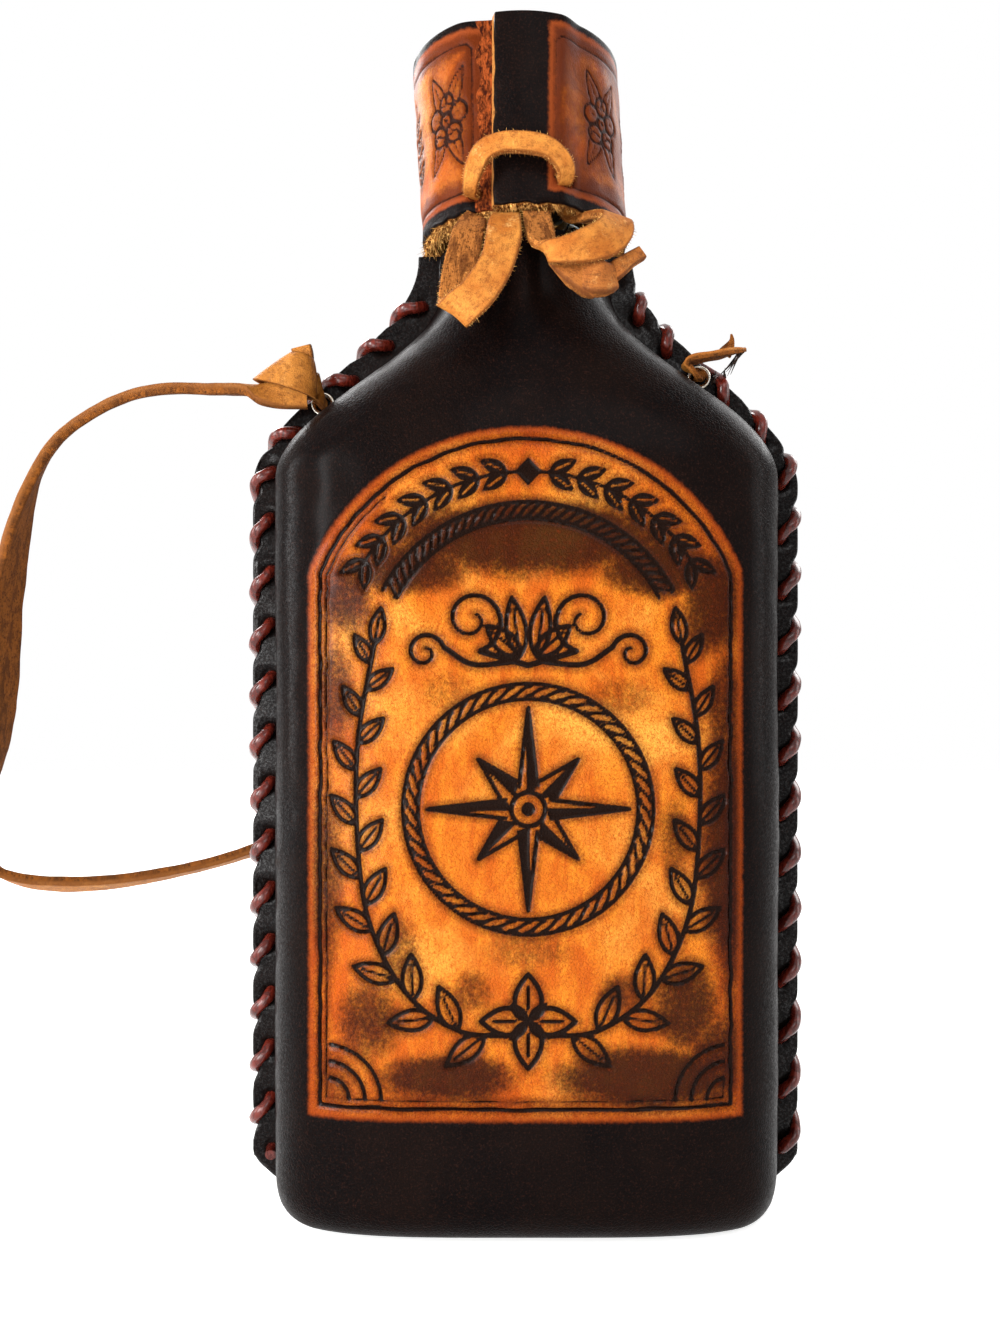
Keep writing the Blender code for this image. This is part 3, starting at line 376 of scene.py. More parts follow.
lamps = {
    # name: (place in metres, point it looks at, width, height, watts)
    "leftWindow": ((-0.72, -0.80, 0.31), (0.0, 0.0, 0.10), 0.18, 0.58, 12.5),
    "leftEdge": ((-0.80, -0.12, 0.18), (0.0, 0.0, 0.08), 0.25, 0.7, 6.0),
    "leftGlare": ((-0.112, -0.215, 0.072), (-0.02, 0.0, 0.072), 0.06, 0.12, 0.2),
    "frontSoft": ((0.25, -1.10, 0.85), (0.0, 0.0, 0.12), 0.7, 0.5, 3.9),
    "rightEdge": ((0.85, -0.20, 0.35), (0.0, 0.0, 0.10), 0.30, 0.8, 3.5),
    "backRim": ((-0.55, 0.62, 0.80), (0.0, 0.0, 0.13), 0.5, 0.4, 10.0),
    "backRimRight": ((0.60, 0.50, 0.72), (0.0, 0.0, 0.13), 0.6, 0.5, 6.0),
}


def setLamps():
    # each lamp is a soft rectangle turned to its point
    for name, (place, target, width, height, watts) in lamps.items():
        data = bpy.data.lights.new(name, "AREA")
        data.shape = "RECTANGLE"
        data.size = width
        data.size_y = height
        data.energy = watts
        lamp = bpy.data.objects.new(name, data)
        lamp.location = place
        lamp.rotation_euler = (Vector(target) - Vector(place)).to_track_quat("-Z", "Y").to_euler()
        bpy.context.scene.collection.objects.link(lamp)
    bpy.context.scene.view_settings.view_transform = "Standard"


setCamera()
setWorld()
setFloor()
setLamps()
print("camera, floor and lamps set")

# Moulded leather cover

cover = {
    "halfWidth": 46.0,
    "halfDepth": 23.0,
    "collar": 16.0,
    "bodyTop": 134.0,
    "shoulder": 37.0,
    "top": 177.5,
    "leather": 2.4,
    "slit": 0.15,
    "flange": 51.0,
    "flangeAboveNeck": 6.0,
    "flangeAboveBody": 0.2,
    "flangeAtNeck": 3.5,
    "rootSoftness": 1.2,
    "baseRound": 8.6,
    "corner": (14.0, 9.5),
    "buckle": 0.24,          # how far the hand-moulded surface wanders, mm
    "edgeNotch": 1.7,        # how far the lace pulls the flange edge in, mm
    "notchSpread": 1.7,      # and how far along the edge that reaches
    "edgeSwell": 0.7,        # how far the edge stands out between two stitches
    "holeDent": 1.1,
    "dentSpread": 1.35,
    "fineTop": 144.0,        # above this the front has no tooling, so its rows are wider apart
    "bodyRun": 130.0,        # about the height of the body's rows, which turns mm into shares
}

lacing = {
    "radius": 1.1,
    "pulledIn": 0.25,        # the lace's middle stands this far outside the flange edge
    "inset": 3.1,
    "lower": 15,
    "lowest": 9.0,
    "belowEyelet": 7.0,
    "aboveEyelet": 7.5,
    "upper": 3,
    "upperPitch": {"left": 9.2, "right": 7.8},
    "eyeletHeight": {"left": 149.5, "right": 154.5},
    "eyeletInset": 2.6,
}

sides = {"left": -1.0, "right": 1.0}


def shoulderShare(z, aboveNeck=0.0, aboveBody=0.0):
    # 0 at the neck and 1 on the body, an S between
    high = cover["bodyTop"] + cover["shoulder"] + aboveNeck
    return smoothStep(0.0, 1.0, (high - z) / (high - cover["bodyTop"] - aboveBody))


def sectionSizes(z, inset):
    # half width, half depth and squareness of the outline at a height
    share = shoulderShare(z)
    return (
        cover["collar"] + (cover["halfWidth"] - cover["collar"]) * share - inset,
        cover["collar"] + (cover["halfDepth"] - cover["collar"]) * share - inset,
        2.0 + 2.0 * share,
    )


def flangeReach(z):
    # half width over the flange: its own S from the neck out to the straight sides
    neck = cover["collar"] + cover["flangeAtNeck"]
    share = shoulderShare(z, cover["flangeAboveNeck"], cover["flangeAboveBody"])
    return neck + (cover["flange"] - neck) * share


def cornerRise(x):
    # quarter ellipse at the bottom corners
    width, height = cover["corner"]
    share = np.clip((np.abs(x) - cover["flange"] + width) / width, 0.0, 1.0)
    return height * (1.0 - np.sqrt(1.0 - share * share))


def softFloor(value, softness):
    # the value where it is above 0 and nearly 0 below, with a soft bend between
    return 0.5 * (value + np.sqrt(value * value + softness * softness))


def edgeLine():
    # the flange's outer edge from the collar down and round the corner: x, z, run and outward direction
    z = np.linspace(cover["top"], cover["corner"][1], 500)
    turn = np.linspace(0.0, 0.5 * math.pi, 80)[1:]
    width, height = cover["corner"]
    x = np.concatenate([flangeReach(z), cover["flange"] - width * (1.0 - np.cos(turn))])
    z = np.concatenate([z, height * (1.0 - np.sin(turn))])
    run = np.concatenate([[0.0], np.cumsum(np.hypot(np.diff(x), np.diff(z)))])
    slopeX, slopeZ = np.gradient(x, run), np.gradient(z, run)
    size = np.hypot(slopeX, slopeZ)
    return x, z, run, -slopeZ / size, slopeX / size


edgeX, edgeZ, edgeRun, edgeOutX, edgeOutZ = edgeLine()


def onEdge(run, outward):
    # x and z at a run along the edge, moved outwards square to it
    x, z = np.interp(run, edgeRun, edgeX), np.interp(run, edgeRun, edgeZ)
    return x + outward * np.interp(run, edgeRun, edgeOutX), z + outward * np.interp(run, edgeRun, edgeOutZ)


def eyeletRun(side):
    # the run along the edge at which the eyelet's middle has its height
    runs = edgeRun[edgeZ > 130.0]
    return float(np.interp(-lacing["eyeletHeight"][side], -onEdge(runs, -lacing["eyeletInset"])[1], runs))


def stitchRuns(side):
    # runs of the holes: the upper ones counted up from the eyelet, the lower ones spread evenly below it
    middle = eyeletRun(side)
    steps = np.arange(lacing["upper"])[::-1]
    above = middle - lacing["aboveEyelet"] - lacing["upperPitch"][side] * steps
    last = np.interp(-lacing["lowest"], -edgeZ, edgeRun)
    return np.concatenate([above, np.linspace(middle + lacing["belowEyelet"], last, lacing["lower"])])


def stitchHoles(side):
    # x and z of the holes: each run's place on the edge, moved in square to it
    x, z = onEdge(stitchRuns(side), -lacing["inset"] + 0.25)
    return sides[side] * x, z


def halfOutline(z, inset, floor, softness, flangeSteps, angles):
    # x and depth from the flange edge to the middle, for each height (rows) and step (columns).
    # The body is a superellipse met at the polar angle; the flange is a soft floor under it.
    halfWidth, halfDepth, power = (v[:, None] for v in sectionSizes(z, inset))
    away = (np.cos(angles) ** power + np.sin(angles) ** power) ** (1.0 / power)
    xBody, depth = halfWidth * np.cos(angles) / away, halfDepth * np.sin(angles) / away
    reach = flangeReach(z)[:, None]
    xFlange = halfWidth + (reach - halfWidth) * flangeSteps
    below = -floor - 1.5 * (xFlange - halfWidth)
    x = np.concatenate([xFlange, xBody], axis=1)
    return x, floor + softFloor(np.concatenate([below, depth - floor], axis=1), softness)


def halfSheet(inset, floor, softness, baseRound, flangeSteps, angles, levels, bodyRows, roundRows):
    # rows run from the collar down the front and under to y = 0; columns from the right edge to the middle
    x, depth = halfOutline(levels, inset, floor, softness, flangeSteps, angles)
    z = np.broadcast_to(levels[:, None], x.shape)
    xBase, depthBase = x[-1], depth[-1]
    roundOff = np.minimum(baseRound, 0.8 * depthBase)
    lowest = cornerRise(xBase) + inset
    bend = lowest + roundOff
    t = bodyRows[:, None]
    bodyZ = cover["bodyTop"] + (bend - cover["bodyTop"]) * t
    turn = 0.5 * math.pi * roundRows[:, None]
    roundDepth = depthBase - roundOff * (1.0 - np.cos(turn))
    roundZ = bend - roundOff * np.sin(turn)
    under = roundDepth[-1] * (1.0 - np.linspace(0.0, 1.0, 6)[1:, None])
    rows = [
        np.stack([x, -depth, z], axis=-1),
        np.stack(np.broadcast_arrays(xBase, -depthBase, bodyZ), axis=-1),
        np.stack(np.broadcast_arrays(xBase, -roundDepth, roundZ), axis=-1),
        np.stack(np.broadcast_arrays(xBase, -under, lowest), axis=-1),
    ]
    return np.concatenate(rows)


def bothHalves(half):
    # right half mirrored on to the left, the middle column kept once
    return np.concatenate([half, half[:, -2::-1] * (-1.0, 1.0, 1.0)], axis=1)


def gridNormals(grid, outwardFrom):
    # unit cross product of the grid's two directions, turned away from a point inside
    normal = np.cross(np.gradient(grid, axis=1), np.gradient(grid, axis=0))
    normal /= np.maximum(np.linalg.norm(normal, axis=-1, keepdims=True), 1e-9)
    flip = np.sign(np.sum(normal * (grid - outwardFrom), axis=-1, keepdims=True))
    return normal * np.where(flip == 0, 1.0, flip)


def coverLayer(columns, bodyLevels, neckLevels):
    # One layer of the cover as closed rings: outer face, rounded flange edge, inner face and edge.
    # Returns rings (row, point, xyz), how many points of a ring are on the outer face, and its normals.
    leather, slit, baseRound = cover["leather"], cover["slit"], cover["baseRound"]
    rows = (neckLevels, bodyLevels, np.linspace(0, 1, 9)[1:])
    outer = halfSheet(0.0, slit + leather, cover["rootSoftness"], baseRound, *columns, *rows)
    few = (np.array([0.92, 0.7, 0.35]), np.radians([2, 12, 24, 36, 48, 60, 75, 90]))
    inner = halfSheet(leather, slit, 0.2, baseRound - leather, *few, *rows)
    outer, inner = settleFlange(bothHalves(outer)), bothHalves(inner)
    normal = gridNormals(outer, np.array([0.0, 0.0, 90.0]))
    x, y, z = outer[..., 0], outer[..., 1], outer[..., 2]
    wander = 0.7 * softNoise(x, y, z, 26.0, 3) + 0.3 * softNoise(x, y, z, 8.0, 5)
    standing = smoothStep(0.5, 6.0, z) * smoothStep(cover["top"], cover["top"] - 8.0, z)
    outer = outer + normal * (cover["buckle"] * wander * standing)[..., None]
    turn = np.linspace(0.0, math.pi, 8)[1:-1]
    top, low = outer[:, :1], inner[:, :1]
    bulge = np.stack([np.sin(turn), 0 * turn, 0 * turn], axis=-1)[None] * 0.65
    share = (0.5 - 0.5 * np.cos(turn))[None, :, None]
    right = top + (low - top) * share + bulge
    top, low = outer[:, -1:], inner[:, -1:]
    left = top + (low - top) * share - bulge
    rings = np.concatenate([outer, left, inner[:, ::-1], right[:, ::-1]], axis=1)
    return rings, outer.shape[1], normal


def settleFlange(grid):
    # the lace notches the flange edge where it goes round, and dents the face where it goes in
    x, y, z = grid[..., 0].copy(), grid[..., 1].copy(), grid[..., 2].copy()
    for side, sign in sides.items():
        holeX, holeZ = stitchHoles(side)
        runs = stitchRuns(side)
        notchX, notchZ = onEdge(0.5 * (runs[:-1] + runs[1:]), 0.0)
        here = sign * x > 14.0
        overEdge = np.sqrt((sign * x[here][:, None] - notchX) ** 2 + (z[here][:, None] - notchZ) ** 2)
        atEdge = smoothStep(-2.6, -0.3, sign * x[here] - flangeReach(z[here]))
        pulled = cover["edgeNotch"] * np.exp(-((overEdge / cover["notchSpread"]) ** 2)).sum(axis=1)
        x[here] += sign * (cover["edgeSwell"] * atEdge - pulled)
        away = np.sqrt((x[here][:, None] - holeX) ** 2 + (z[here][:, None] - holeZ) ** 2)
        flat = smoothStep(5.5, 3.0, -y[here])
        y[here] += flat * cover["holeDent"] * np.exp(-((away / cover["dentSpread"]) ** 2)).sum(axis=1)
    return np.stack([x, y, z], axis=-1)


# Tooled panel on the front

panel = {
    "halfWidth": 37.4,
    "offCentre": -0.5,
    "bottom": 23.0,
    "crown": 141.0,
    "archRadius": 40.9,
    "band": 2.1,             # plain band outside the border line, mm
    "line": 0.5,             # half width of a tooled line, mm
    "depth": 0.42,
    "bolder": 0.03,          # added to each line's half width
    "garland": 33.2,         # radius of the leaf garland, from the arch's middle
    "ropeArc": 26.6,         # and of the rope arc below it
    "compassHeight": 76.0,
    "compassRing": 20.0,
    "flowerHeight": 40.0,
}


def segmentDistance(px, pz, path, halfWidth):
    # least distance from the points to a polyline, less its half width, which may change along it
    best = np.full(px.shape, 9.0)
    widths = np.broadcast_to(np.asarray(halfWidth, float), (len(path),))
    for a, b, wa, wb in zip(path, path[1:], widths, widths[1:]):
        way = b - a
        x, z = px - a[0], pz - a[1]
        t = np.clip((x * way[0] + z * way[1]) / max(way.dot(way), 1e-9), 0.0, 1.0)
        best = np.minimum(best, np.hypot(x - t * way[0], z - t * way[1]) - (wa + (wb - wa) * t))
    return best


def polygonDistance(px, pz, path):
    # signed distance to a closed outline, negative inside: crossings of a ray give the sign
    best = segmentDistance(px, pz, np.concatenate([path, path[:1]]), 0.0)
    inside = np.zeros(px.shape, bool)
    for a, b in zip(path, np.roll(path, -1, axis=0)):
        spans = (a[1] > pz) != (b[1] > pz)
        reach = (b[0] - a[0]) * (pz - a[1]) / (b[1] - a[1] + 1e-12) + a[0]
        inside ^= spans & (px < reach)
    return np.where(inside, -best, best)


def fromUp(centre, reach, turn):
    # points at a reach from the centre, the angle counted clockwise from straight up, in radians
    return np.stack([centre[0] + reach * np.sin(turn), centre[1] + reach * np.cos(turn)], axis=-1)


def arc(centre, radius, start, end, count=24):
    # part of a circle, its angles in degrees
    return fromUp(centre, radius, np.radians(np.linspace(start, end, count)))


def leafOutline(root, angle, length, width, count=9):
    # a pointed leaf: its half width goes as sin(pi t^0.85)^0.9 along its midrib
    t = np.linspace(0.0, 1.0, count)
    half = 0.5 * width * np.sin(math.pi * t**0.85) ** 0.9
    turn = math.radians(angle)
    along, across = np.array([math.sin(turn), math.cos(turn)]), np.array([math.cos(turn), -math.sin(turn)])
    rib = np.array(root) + np.outer(t * length, along)
    return np.concatenate([rib + np.outer(half, across), (rib - np.outer(half, across))[::-1]]), rib


class Tooling:
    # gathers lines and filled shapes, and gives each surface point its distance to the nearest one

    def __init__(self, px, pz):
        self.px, self.pz = px, pz
        self.field = np.full(px.shape, 3.0)

    def near(self, path, margin=2.2):
        # the points in the path's box with a margin
        low, high = path.min(axis=0) - margin, path.max(axis=0) + margin
        return (self.px > low[0]) & (self.px < high[0]) & (self.pz > low[1]) & (self.pz < high[1])

    def lower(self, here, shape):
        # the nearest shape counts
        self.field[here] = np.minimum(self.field[here], shape)

    def line(self, path, halfWidth=panel["line"]):
        path = np.asarray(path, float)
        here = self.near(path)
        self.lower(here, segmentDistance(self.px[here], self.pz[here], path, halfWidth))

    def closed(self, path, halfWidth=panel["line"]):
        path = np.asarray(path, float)
        self.line(np.concatenate([path, path[:1]]), halfWidth)

    def filled(self, path, spare=None):
        # a dark shape, with an untouched rib left along `spare`
        path = np.asarray(path, float)
        here = self.near(path)
        shape = polygonDistance(self.px[here], self.pz[here], path)
        if spare is not None:
            rib = segmentDistance(self.px[here], self.pz[here], spare, 0.22)
            shape = np.maximum(shape, -rib)
        self.lower(here, shape)


def veined(tool, leaf, edge, vein, last, sign=1.0):
    # a leaf's outline and its midrib up to its point `last`, mirrored where sign is -1
    outline, rib = leaf
    tool.closed(outline * (sign, 1.0), edge)
    tool.line(rib[1:last] * (sign, 1.0), vein)


def panelInside(px, pz):
    # distance in from the arched panel's edge, negative outside
    centreZ = panel["crown"] - panel["archRadius"]
    px = px - panel["offCentre"]
    round_ = panel["archRadius"] - np.hypot(px, np.maximum(pz - centreZ, 0.0))
    return np.minimum(np.minimum(panel["halfWidth"] - np.abs(px), pz - panel["bottom"]), round_)


def scroll(tool, centre, radius, start, turns, sign):
    # a spiral whose radius shrinks evenly to a fifth of its first size
    t = np.linspace(0.0, 1.0, 26)
    turn = sign * (math.radians(start) + turns * math.tau * t)
    path = fromUp(centre, radius * (1.0 - 0.8 * t), turn)
    tool.line(path, 0.42 * (1.0 - 0.35 * t))
    return path


def compassRose(tool, centre, long, short):
    # eight points; one flank of each is filled, the other is outlined
    ring = 2.9
    for k in range(8):
        reach, root = (long, 0.24 * long) if k % 2 == 0 else (short, 0.30 * long)
        turn = math.radians(45 * k)
        inner, tip = fromUp(centre, ring, turn), fromUp(centre, reach, turn)
        before, after = fromUp(centre, root, turn - math.pi / 8), fromUp(centre, root, turn + math.pi / 8)
        tool.filled([inner, after, tip])
        tool.line([before, tip, after], 0.36)
        tool.line([inner, tip], 0.26)
    tool.closed(arc(centre, ring, 0, 345, 24), 0.4)
    tool.filled(arc(centre, 1.2, 0, 330, 12))


def ropeRing(tool, centre, radius, width, count, start=0.0, end=360.0):
    # S-shaped strands between two circles
    t = np.linspace(-1, 1, 7)
    reach = radius + 0.5 * width * np.sin(0.5 * math.pi * t)
    half = 0.62 * (end - start) / count
    for k in range(count):
        middle = start + (end - start) * (k + 0.5) / count
        tool.line(fromUp(centre, reach, np.radians(middle + half * t)), 0.3)
    for side in (-0.5, 0.5):
        ring = arc(centre, radius + side * (width + 0.9), start, end, 64)
        if end - start > 359:
            tool.closed(ring[:-1], 0.34)
        else:
            tool.line(ring, 0.34)


def leafSpray(tool, stem, gap, size, lean, sign):
    # leaves set alternately along a stem, and one more at its tip
    path = through(stem, 8)
    run = np.concatenate([[0], np.cumsum(np.hypot(*np.diff(path, axis=0).T))])
    tool.line(path * (sign, 1.0), 0.42)
    places = np.arange(4.0, run[-1] - 1.0, gap)
    for k, place in enumerate(places):
        x, z = (np.interp(place, run, path[:, i]) for i in range(2))
        ahead = [np.interp(place + 1.0, run, path[:, i]) for i in range(2)]
        heading = math.degrees(math.atan2(ahead[0] - x, ahead[1] - z))
        turn = lean if k % 2 == 0 else -lean
        grown = size * (1.0 - 0.35 * place / run[-1])
        leaf = leafOutline((x, z), heading + turn, grown, 0.43 * grown, 10)
        veined(tool, leaf, 0.36, 0.24, 8, sign)
    heading = math.degrees(math.atan2(*(path[-1] - path[-2])))
    veined(tool, leafOutline(path[-1], heading, 0.75 * size, 0.3 * size, 10), 0.36, 0.24, 8, sign)


def drawPanel(px, pz):
    # a generic tooled design: leaf garland under the arch, rope arc, compass in a ring, two sprays
    tool = Tooling(px, pz)
    crown, garland = np.array([0.0, panel["crown"] - panel["archRadius"]]), panel["garland"]
    for sign in (-1, 1):
        for k in range(7):
            at = sign * (6.0 + 8.4 * k)
            root = fromUp(crown, garland, math.radians(at))
            for lean in (-30, 30):
                outline, rib = leafOutline(root, at + sign * 90 + lean, 5.4, 2.5)
                tool.filled(outline, rib[2:7])
        tool.line(arc(crown, garland, sign * 4, sign * 60, 24), 0.3)
    tool.filled(crown + np.array([(0, garland + 2.4), (2.3, garland), (0, garland - 2.4), (-2.3, garland)]))
    ropeRing(tool, crown, panel["ropeArc"], 1.9, 34, -62, 62)
    middle = np.array([0.0, panel["compassHeight"]])
    compassRose(tool, middle, 17.2, 12.0)
    ropeRing(tool, middle, panel["compassRing"], 1.7, 46)
    for sign in (-1, 1):
        curl = scroll(tool, (sign * 9.6, 108.2), 5.6, 195, 1.35, sign)
        tool.line(through([(0.0, 100.4), (sign * 4.2, 101.6), curl[0]], 8), 0.5)
        small = scroll(tool, (sign * 17.6, 102.6), 3.4, 285, 1.2, sign)
        tool.line(through([(sign * 3.0, 100.9), (sign * 9.5, 100.6), small[0]], 8), 0.45)
        for lean in (8, 48):
            leaf = leafOutline((sign * 1.4, 102.0), sign * lean, 10.5 - 0.06 * lean, 3.4, 11)
            veined(tool, leaf, 0.38, 0.26, 9)
    stem = [(3.5, 37.5), (12.0, 38.5), (21.0, 45.0), (27.2, 57.0), (29.2, 72.0), (29.0, 88.0), (26.2, 104.0)]
    for sign in (-1, 1):
        leafSpray(tool, stem, 4.6, 8.4, 42, sign)
        for radius in (3.4, 6.2, 9.0):
            corner = np.array([sign * (panel["halfWidth"] - 3.4), panel["bottom"] + 3.4])
            tool.line(arc(corner, radius, 0 if sign < 0 else -90, 90 if sign < 0 else 0, 12), 0.34)
    knot = np.array([0.0, panel["flowerHeight"]])
    for k in range(4):
        outline, rib = leafOutline(knot, 90 * k, 8.0, 4.6, 12)
        tool.closed(outline, 0.42)
        tool.line(rib[3:9], 0.3)
        tool.filled(leafOutline(knot, 90 * k + 45, 4.6, 2.0, 10)[0])
    inside = panelInside(px, pz)
    wobble = 0.16 * softNoise(px, pz, 0 * px, 5.0, 21)
    border = np.abs(inside - panel["band"] + wobble) - 0.38
    second = np.abs(inside - panel["band"] - 1.25 + wobble) - 0.16
    second = np.where((px < -24) | (pz < 30), second, 3.0)
    within = np.where(inside < panel["band"] + 0.8, 3.0, tool.field - panel["bolder"])
    return np.minimum(np.minimum(border, second), within), inside


smudges = [
    # middle x, middle z, half width, half height, strength: where the dye was burnished dark
    (1, 122.0, 22, 5.6, 1.0),
    (-20, 117.0, 9, 4.0, 0.9),
    (22, 117.0, 9, 4.4, 0.95),
    (-31, 112, 4.0, 6, 0.8),
    (31.5, 111, 4.4, 8, 0.9),
    (-33, 96, 3.0, 8, 0.7),
    (33.5, 93, 2.8, 9, 0.75),
    (34.5, 68, 4.2, 20, 0.95),
    (25, 71, 2.6, 6, 0.6),
    (-34.5, 64, 3.0, 14, 0.65),
    (-22, 52, 3.4, 5, 0.55),
    (-27, 40, 5.0, 6, 0.75),
    (27, 42, 5.0, 7, 0.85),
    (-13.5, 30.5, 10, 3.6, 0.95),
    (20, 30.5, 13.5, 4.6, 1.0),
    (32, 33, 5, 7, 0.8),
    (-33, 30, 3.4, 4.4, 0.5),
    (-9.5, 45, 3.0, 3.2, 0.6),
    (15.5, 45, 3.6, 3.0, 0.65),
    (0, 52, 7, 2.6, 0.45),
    (16, 95, 5, 3, 0.45),
    (-14, 96, 4, 3, 0.4),
]


def smudgeAmount(px, pz):
    # flat-topped soft spots, their rims broken by noise
    total = np.zeros(px.shape)
    warp = 0.35 * softNoise(px, pz, 0 * px, 9.0, 31)
    for x, z, wide, tall, strength in smudges:
        far = ((px - x) / wide) ** 2 + ((pz - z) / tall) ** 2
        total = np.maximum(total, strength * smoothStep(2.5 + warp, 0.05, far))
    return total


def spaced(start, end, step):
    # even places from start to end, about a step apart
    return np.linspace(start, end, max(2, int(round(abs(end - start) / step)) + 1))


def coverColumns(fine):
    # shares of the flange's width, and polar angles round the body with even steps across its front
    across = spaced(0.0, 1.0, 0.46 / cover["halfWidth"] if fine else 0.034)
    round_ = spaced(1.0, 0.03, 0.05 if fine else 0.09)
    angles = np.concatenate([np.arctan(round_[::-1][:-1]), np.arctan2(1.0, across[::-1])])
    return np.array([0.9, 0.87, 0.83, 0.78, 0.69, 0.59, 0.48, 0.36, 0.24, 0.12]), angles


def makeCover(frontMaterial, backMaterial):
    # the front with its tooling pressed in, and the plain back, which is the same layer mirrored
    top, bodyTop, fineTop, run = cover["top"], cover["bodyTop"], cover["fineTop"], cover["bodyRun"]
    fineBand = (bodyTop - panel["bottom"] + 2.0) / (bodyTop - cover["baseRound"])
    round_, flange = 6, 11  # points of a ring on the flange's rounded edge, and on its face
    for name, fine, material in (("coverFront", True, frontMaterial), ("coverBack", False, backMaterial)):
        step, neckStep = (0.47, 1.7) if fine else (2.6, 2.6)
        neck = np.concatenate([spaced(top, fineTop, neckStep), spaced(fineTop, bodyTop, step)[1:]])
        body = np.concatenate([spaced(0.0, fineBand, step / run)[1:], spaced(fineBand, 1.0, 1.6 / run)[1:]])
        rings, outerCount, normal = coverLayer(coverColumns(fine), body, neck)
        px, pz = rings[..., 0], rings[..., 2]
        tool, inside = np.full(px.shape, 3.0), np.full(px.shape, -9.0)
        smudge = np.zeros(px.shape)
        rows = len(neck) + len(body)
        if fine:
            front = (slice(0, rows), slice(0, outerCount))
            tool[front], inside[front] = drawPanel(px[front], pz[front])
            smudge[front] = smudgeAmount(px[front], pz[front])
            depth = panel["depth"] * smoothStep(0.25, -0.35, tool[front])
            sunk = depth + 0.1 * smoothStep(-0.6, 0.8, inside[front])
            rings[front] -= normal[:rows] * sunk[..., None]
        else:
            rings = rings * (1.0, -1.0, 1.0)
        burnish = np.zeros(px.shape)
        burnish[: len(normal), :outerCount] = 0.5 * smoothStep(0.4, 0.85, np.abs(normal[..., 0]))
        strip = np.linspace(0.7, 0.45, flange)
        burnish[:, :flange] = strip
        burnish[:, outerCount - flange : outerCount] = strip[::-1]
        burnish[:, outerCount : outerCount + round_] = burnish[:, -round_:] = 1.0
        raw = np.zeros(px.shape)
        raw[:, outerCount + round_ : -round_] = 1.0
        points, faces = stackTubes(rings)
        values = {"tool": tool, "panelIn": inside, "smudge": smudge, "burnish": burnish, "flesh": raw}
        makePiece(name, points, faces, material, "flask", ["leather_cover"], values)
        print(name, len(points), "points")


leatherColours = {
    "dark": colour(8, 5, 5),
    "darkWarm": colour(16, 9, 7),
    "orange": colour(208, 120, 32),
    "orangeLight": colour(231, 158, 64),
    "orangeDeep": colour(178, 82, 20),
    "rim": colour(124, 50, 14),
    "shade": colour(214, 150, 110),
    "smudge": colour(38, 12, 4),
    "line": colour(22, 9, 4),
    "flesh": colour(150, 98, 56),
    "fleshDark": colour(84, 50, 30),
}


def attribute(n, name):
    # a number kept for each point of the mesh
    return n.add("ShaderNodeAttribute", attribute_name=name).outputs["Fac"]


def darkHide(n, where, grain):
    # black-brown dye: warm where it is thin, with fine red-brown specks
    c = leatherColours
    specks = n.noise(where, 2600.0, 4.0, 0.75)
    base = n.blend(grain["Blotches"], c["dark"], c["darkWarm"])
    return n.blend(n.between(specks, 0.5, 0.72, 0.0, 0.5), base, colour(54, 31, 24))


def toolMask(n, where, low, high):
    # a tooled line from its distance in mm, its edge a little torn
    torn = n.linear(n.noise(where, 1500.0, 3.0), 0.34, -0.17)
    return n.between(n.math("ADD", attribute(n, "tool"), torn), high, low)


def orangeHide(n, where):
    # orange dye over tan: streaked, lighter in patches, with burnished smudges and tooled lines
    c = leatherColours
    streaks = n.noise(n.stretched(where, (260, 260, 90)), 1.0, 5.0, 0.6, 0.6)
    field = n.blend(n.between(streaks, 0.35, 0.68), c["orangeDeep"], c["orange"])
    light = n.noise(where, 38.0, 4.0, 0.6, 0.4)
    field = n.blend(n.between(light, 0.46, 0.72), field, c["orangeLight"])
    mottle = n.noise(where, 1500.0, 5.0, 0.85)
    field = n.blend(n.between(mottle, 0.46, 0.66, 0.0, 0.85), field, c["orangeDeep"])
    grains = n.noise(where, 2500.0, 3.0, 0.7)
    field = n.blend(n.between(grains, 0.5, 0.68, 0.0, 0.6), field, colour(146, 62, 14))
    burnt = n.blend(n.between(mottle, 0.52, 0.72, 0.0, 0.7), c["smudge"], colour(104, 40, 12))
    rough = n.linear(n.noise(where, 1300.0, 4.0, 0.7), 0.9, -0.45)
    smudge = attribute(n, "smudge")
    amount = n.linear(rough, n.between(smudge, 0.02, 0.4), smudge)
    field = n.blend(n.between(amount, 0.05, 0.9, 0.0, 0.95), field, burnt)
    settled = n.times(n.between(attribute(n, "tool"), 1.5, 0.1), n.between(mottle, 0.3, 0.7, 0.3, 0.8))
    field = n.blend(settled, field, burnt)
    return n.blend(toolMask(n, where, -0.12, 0.1), field, c["line"])


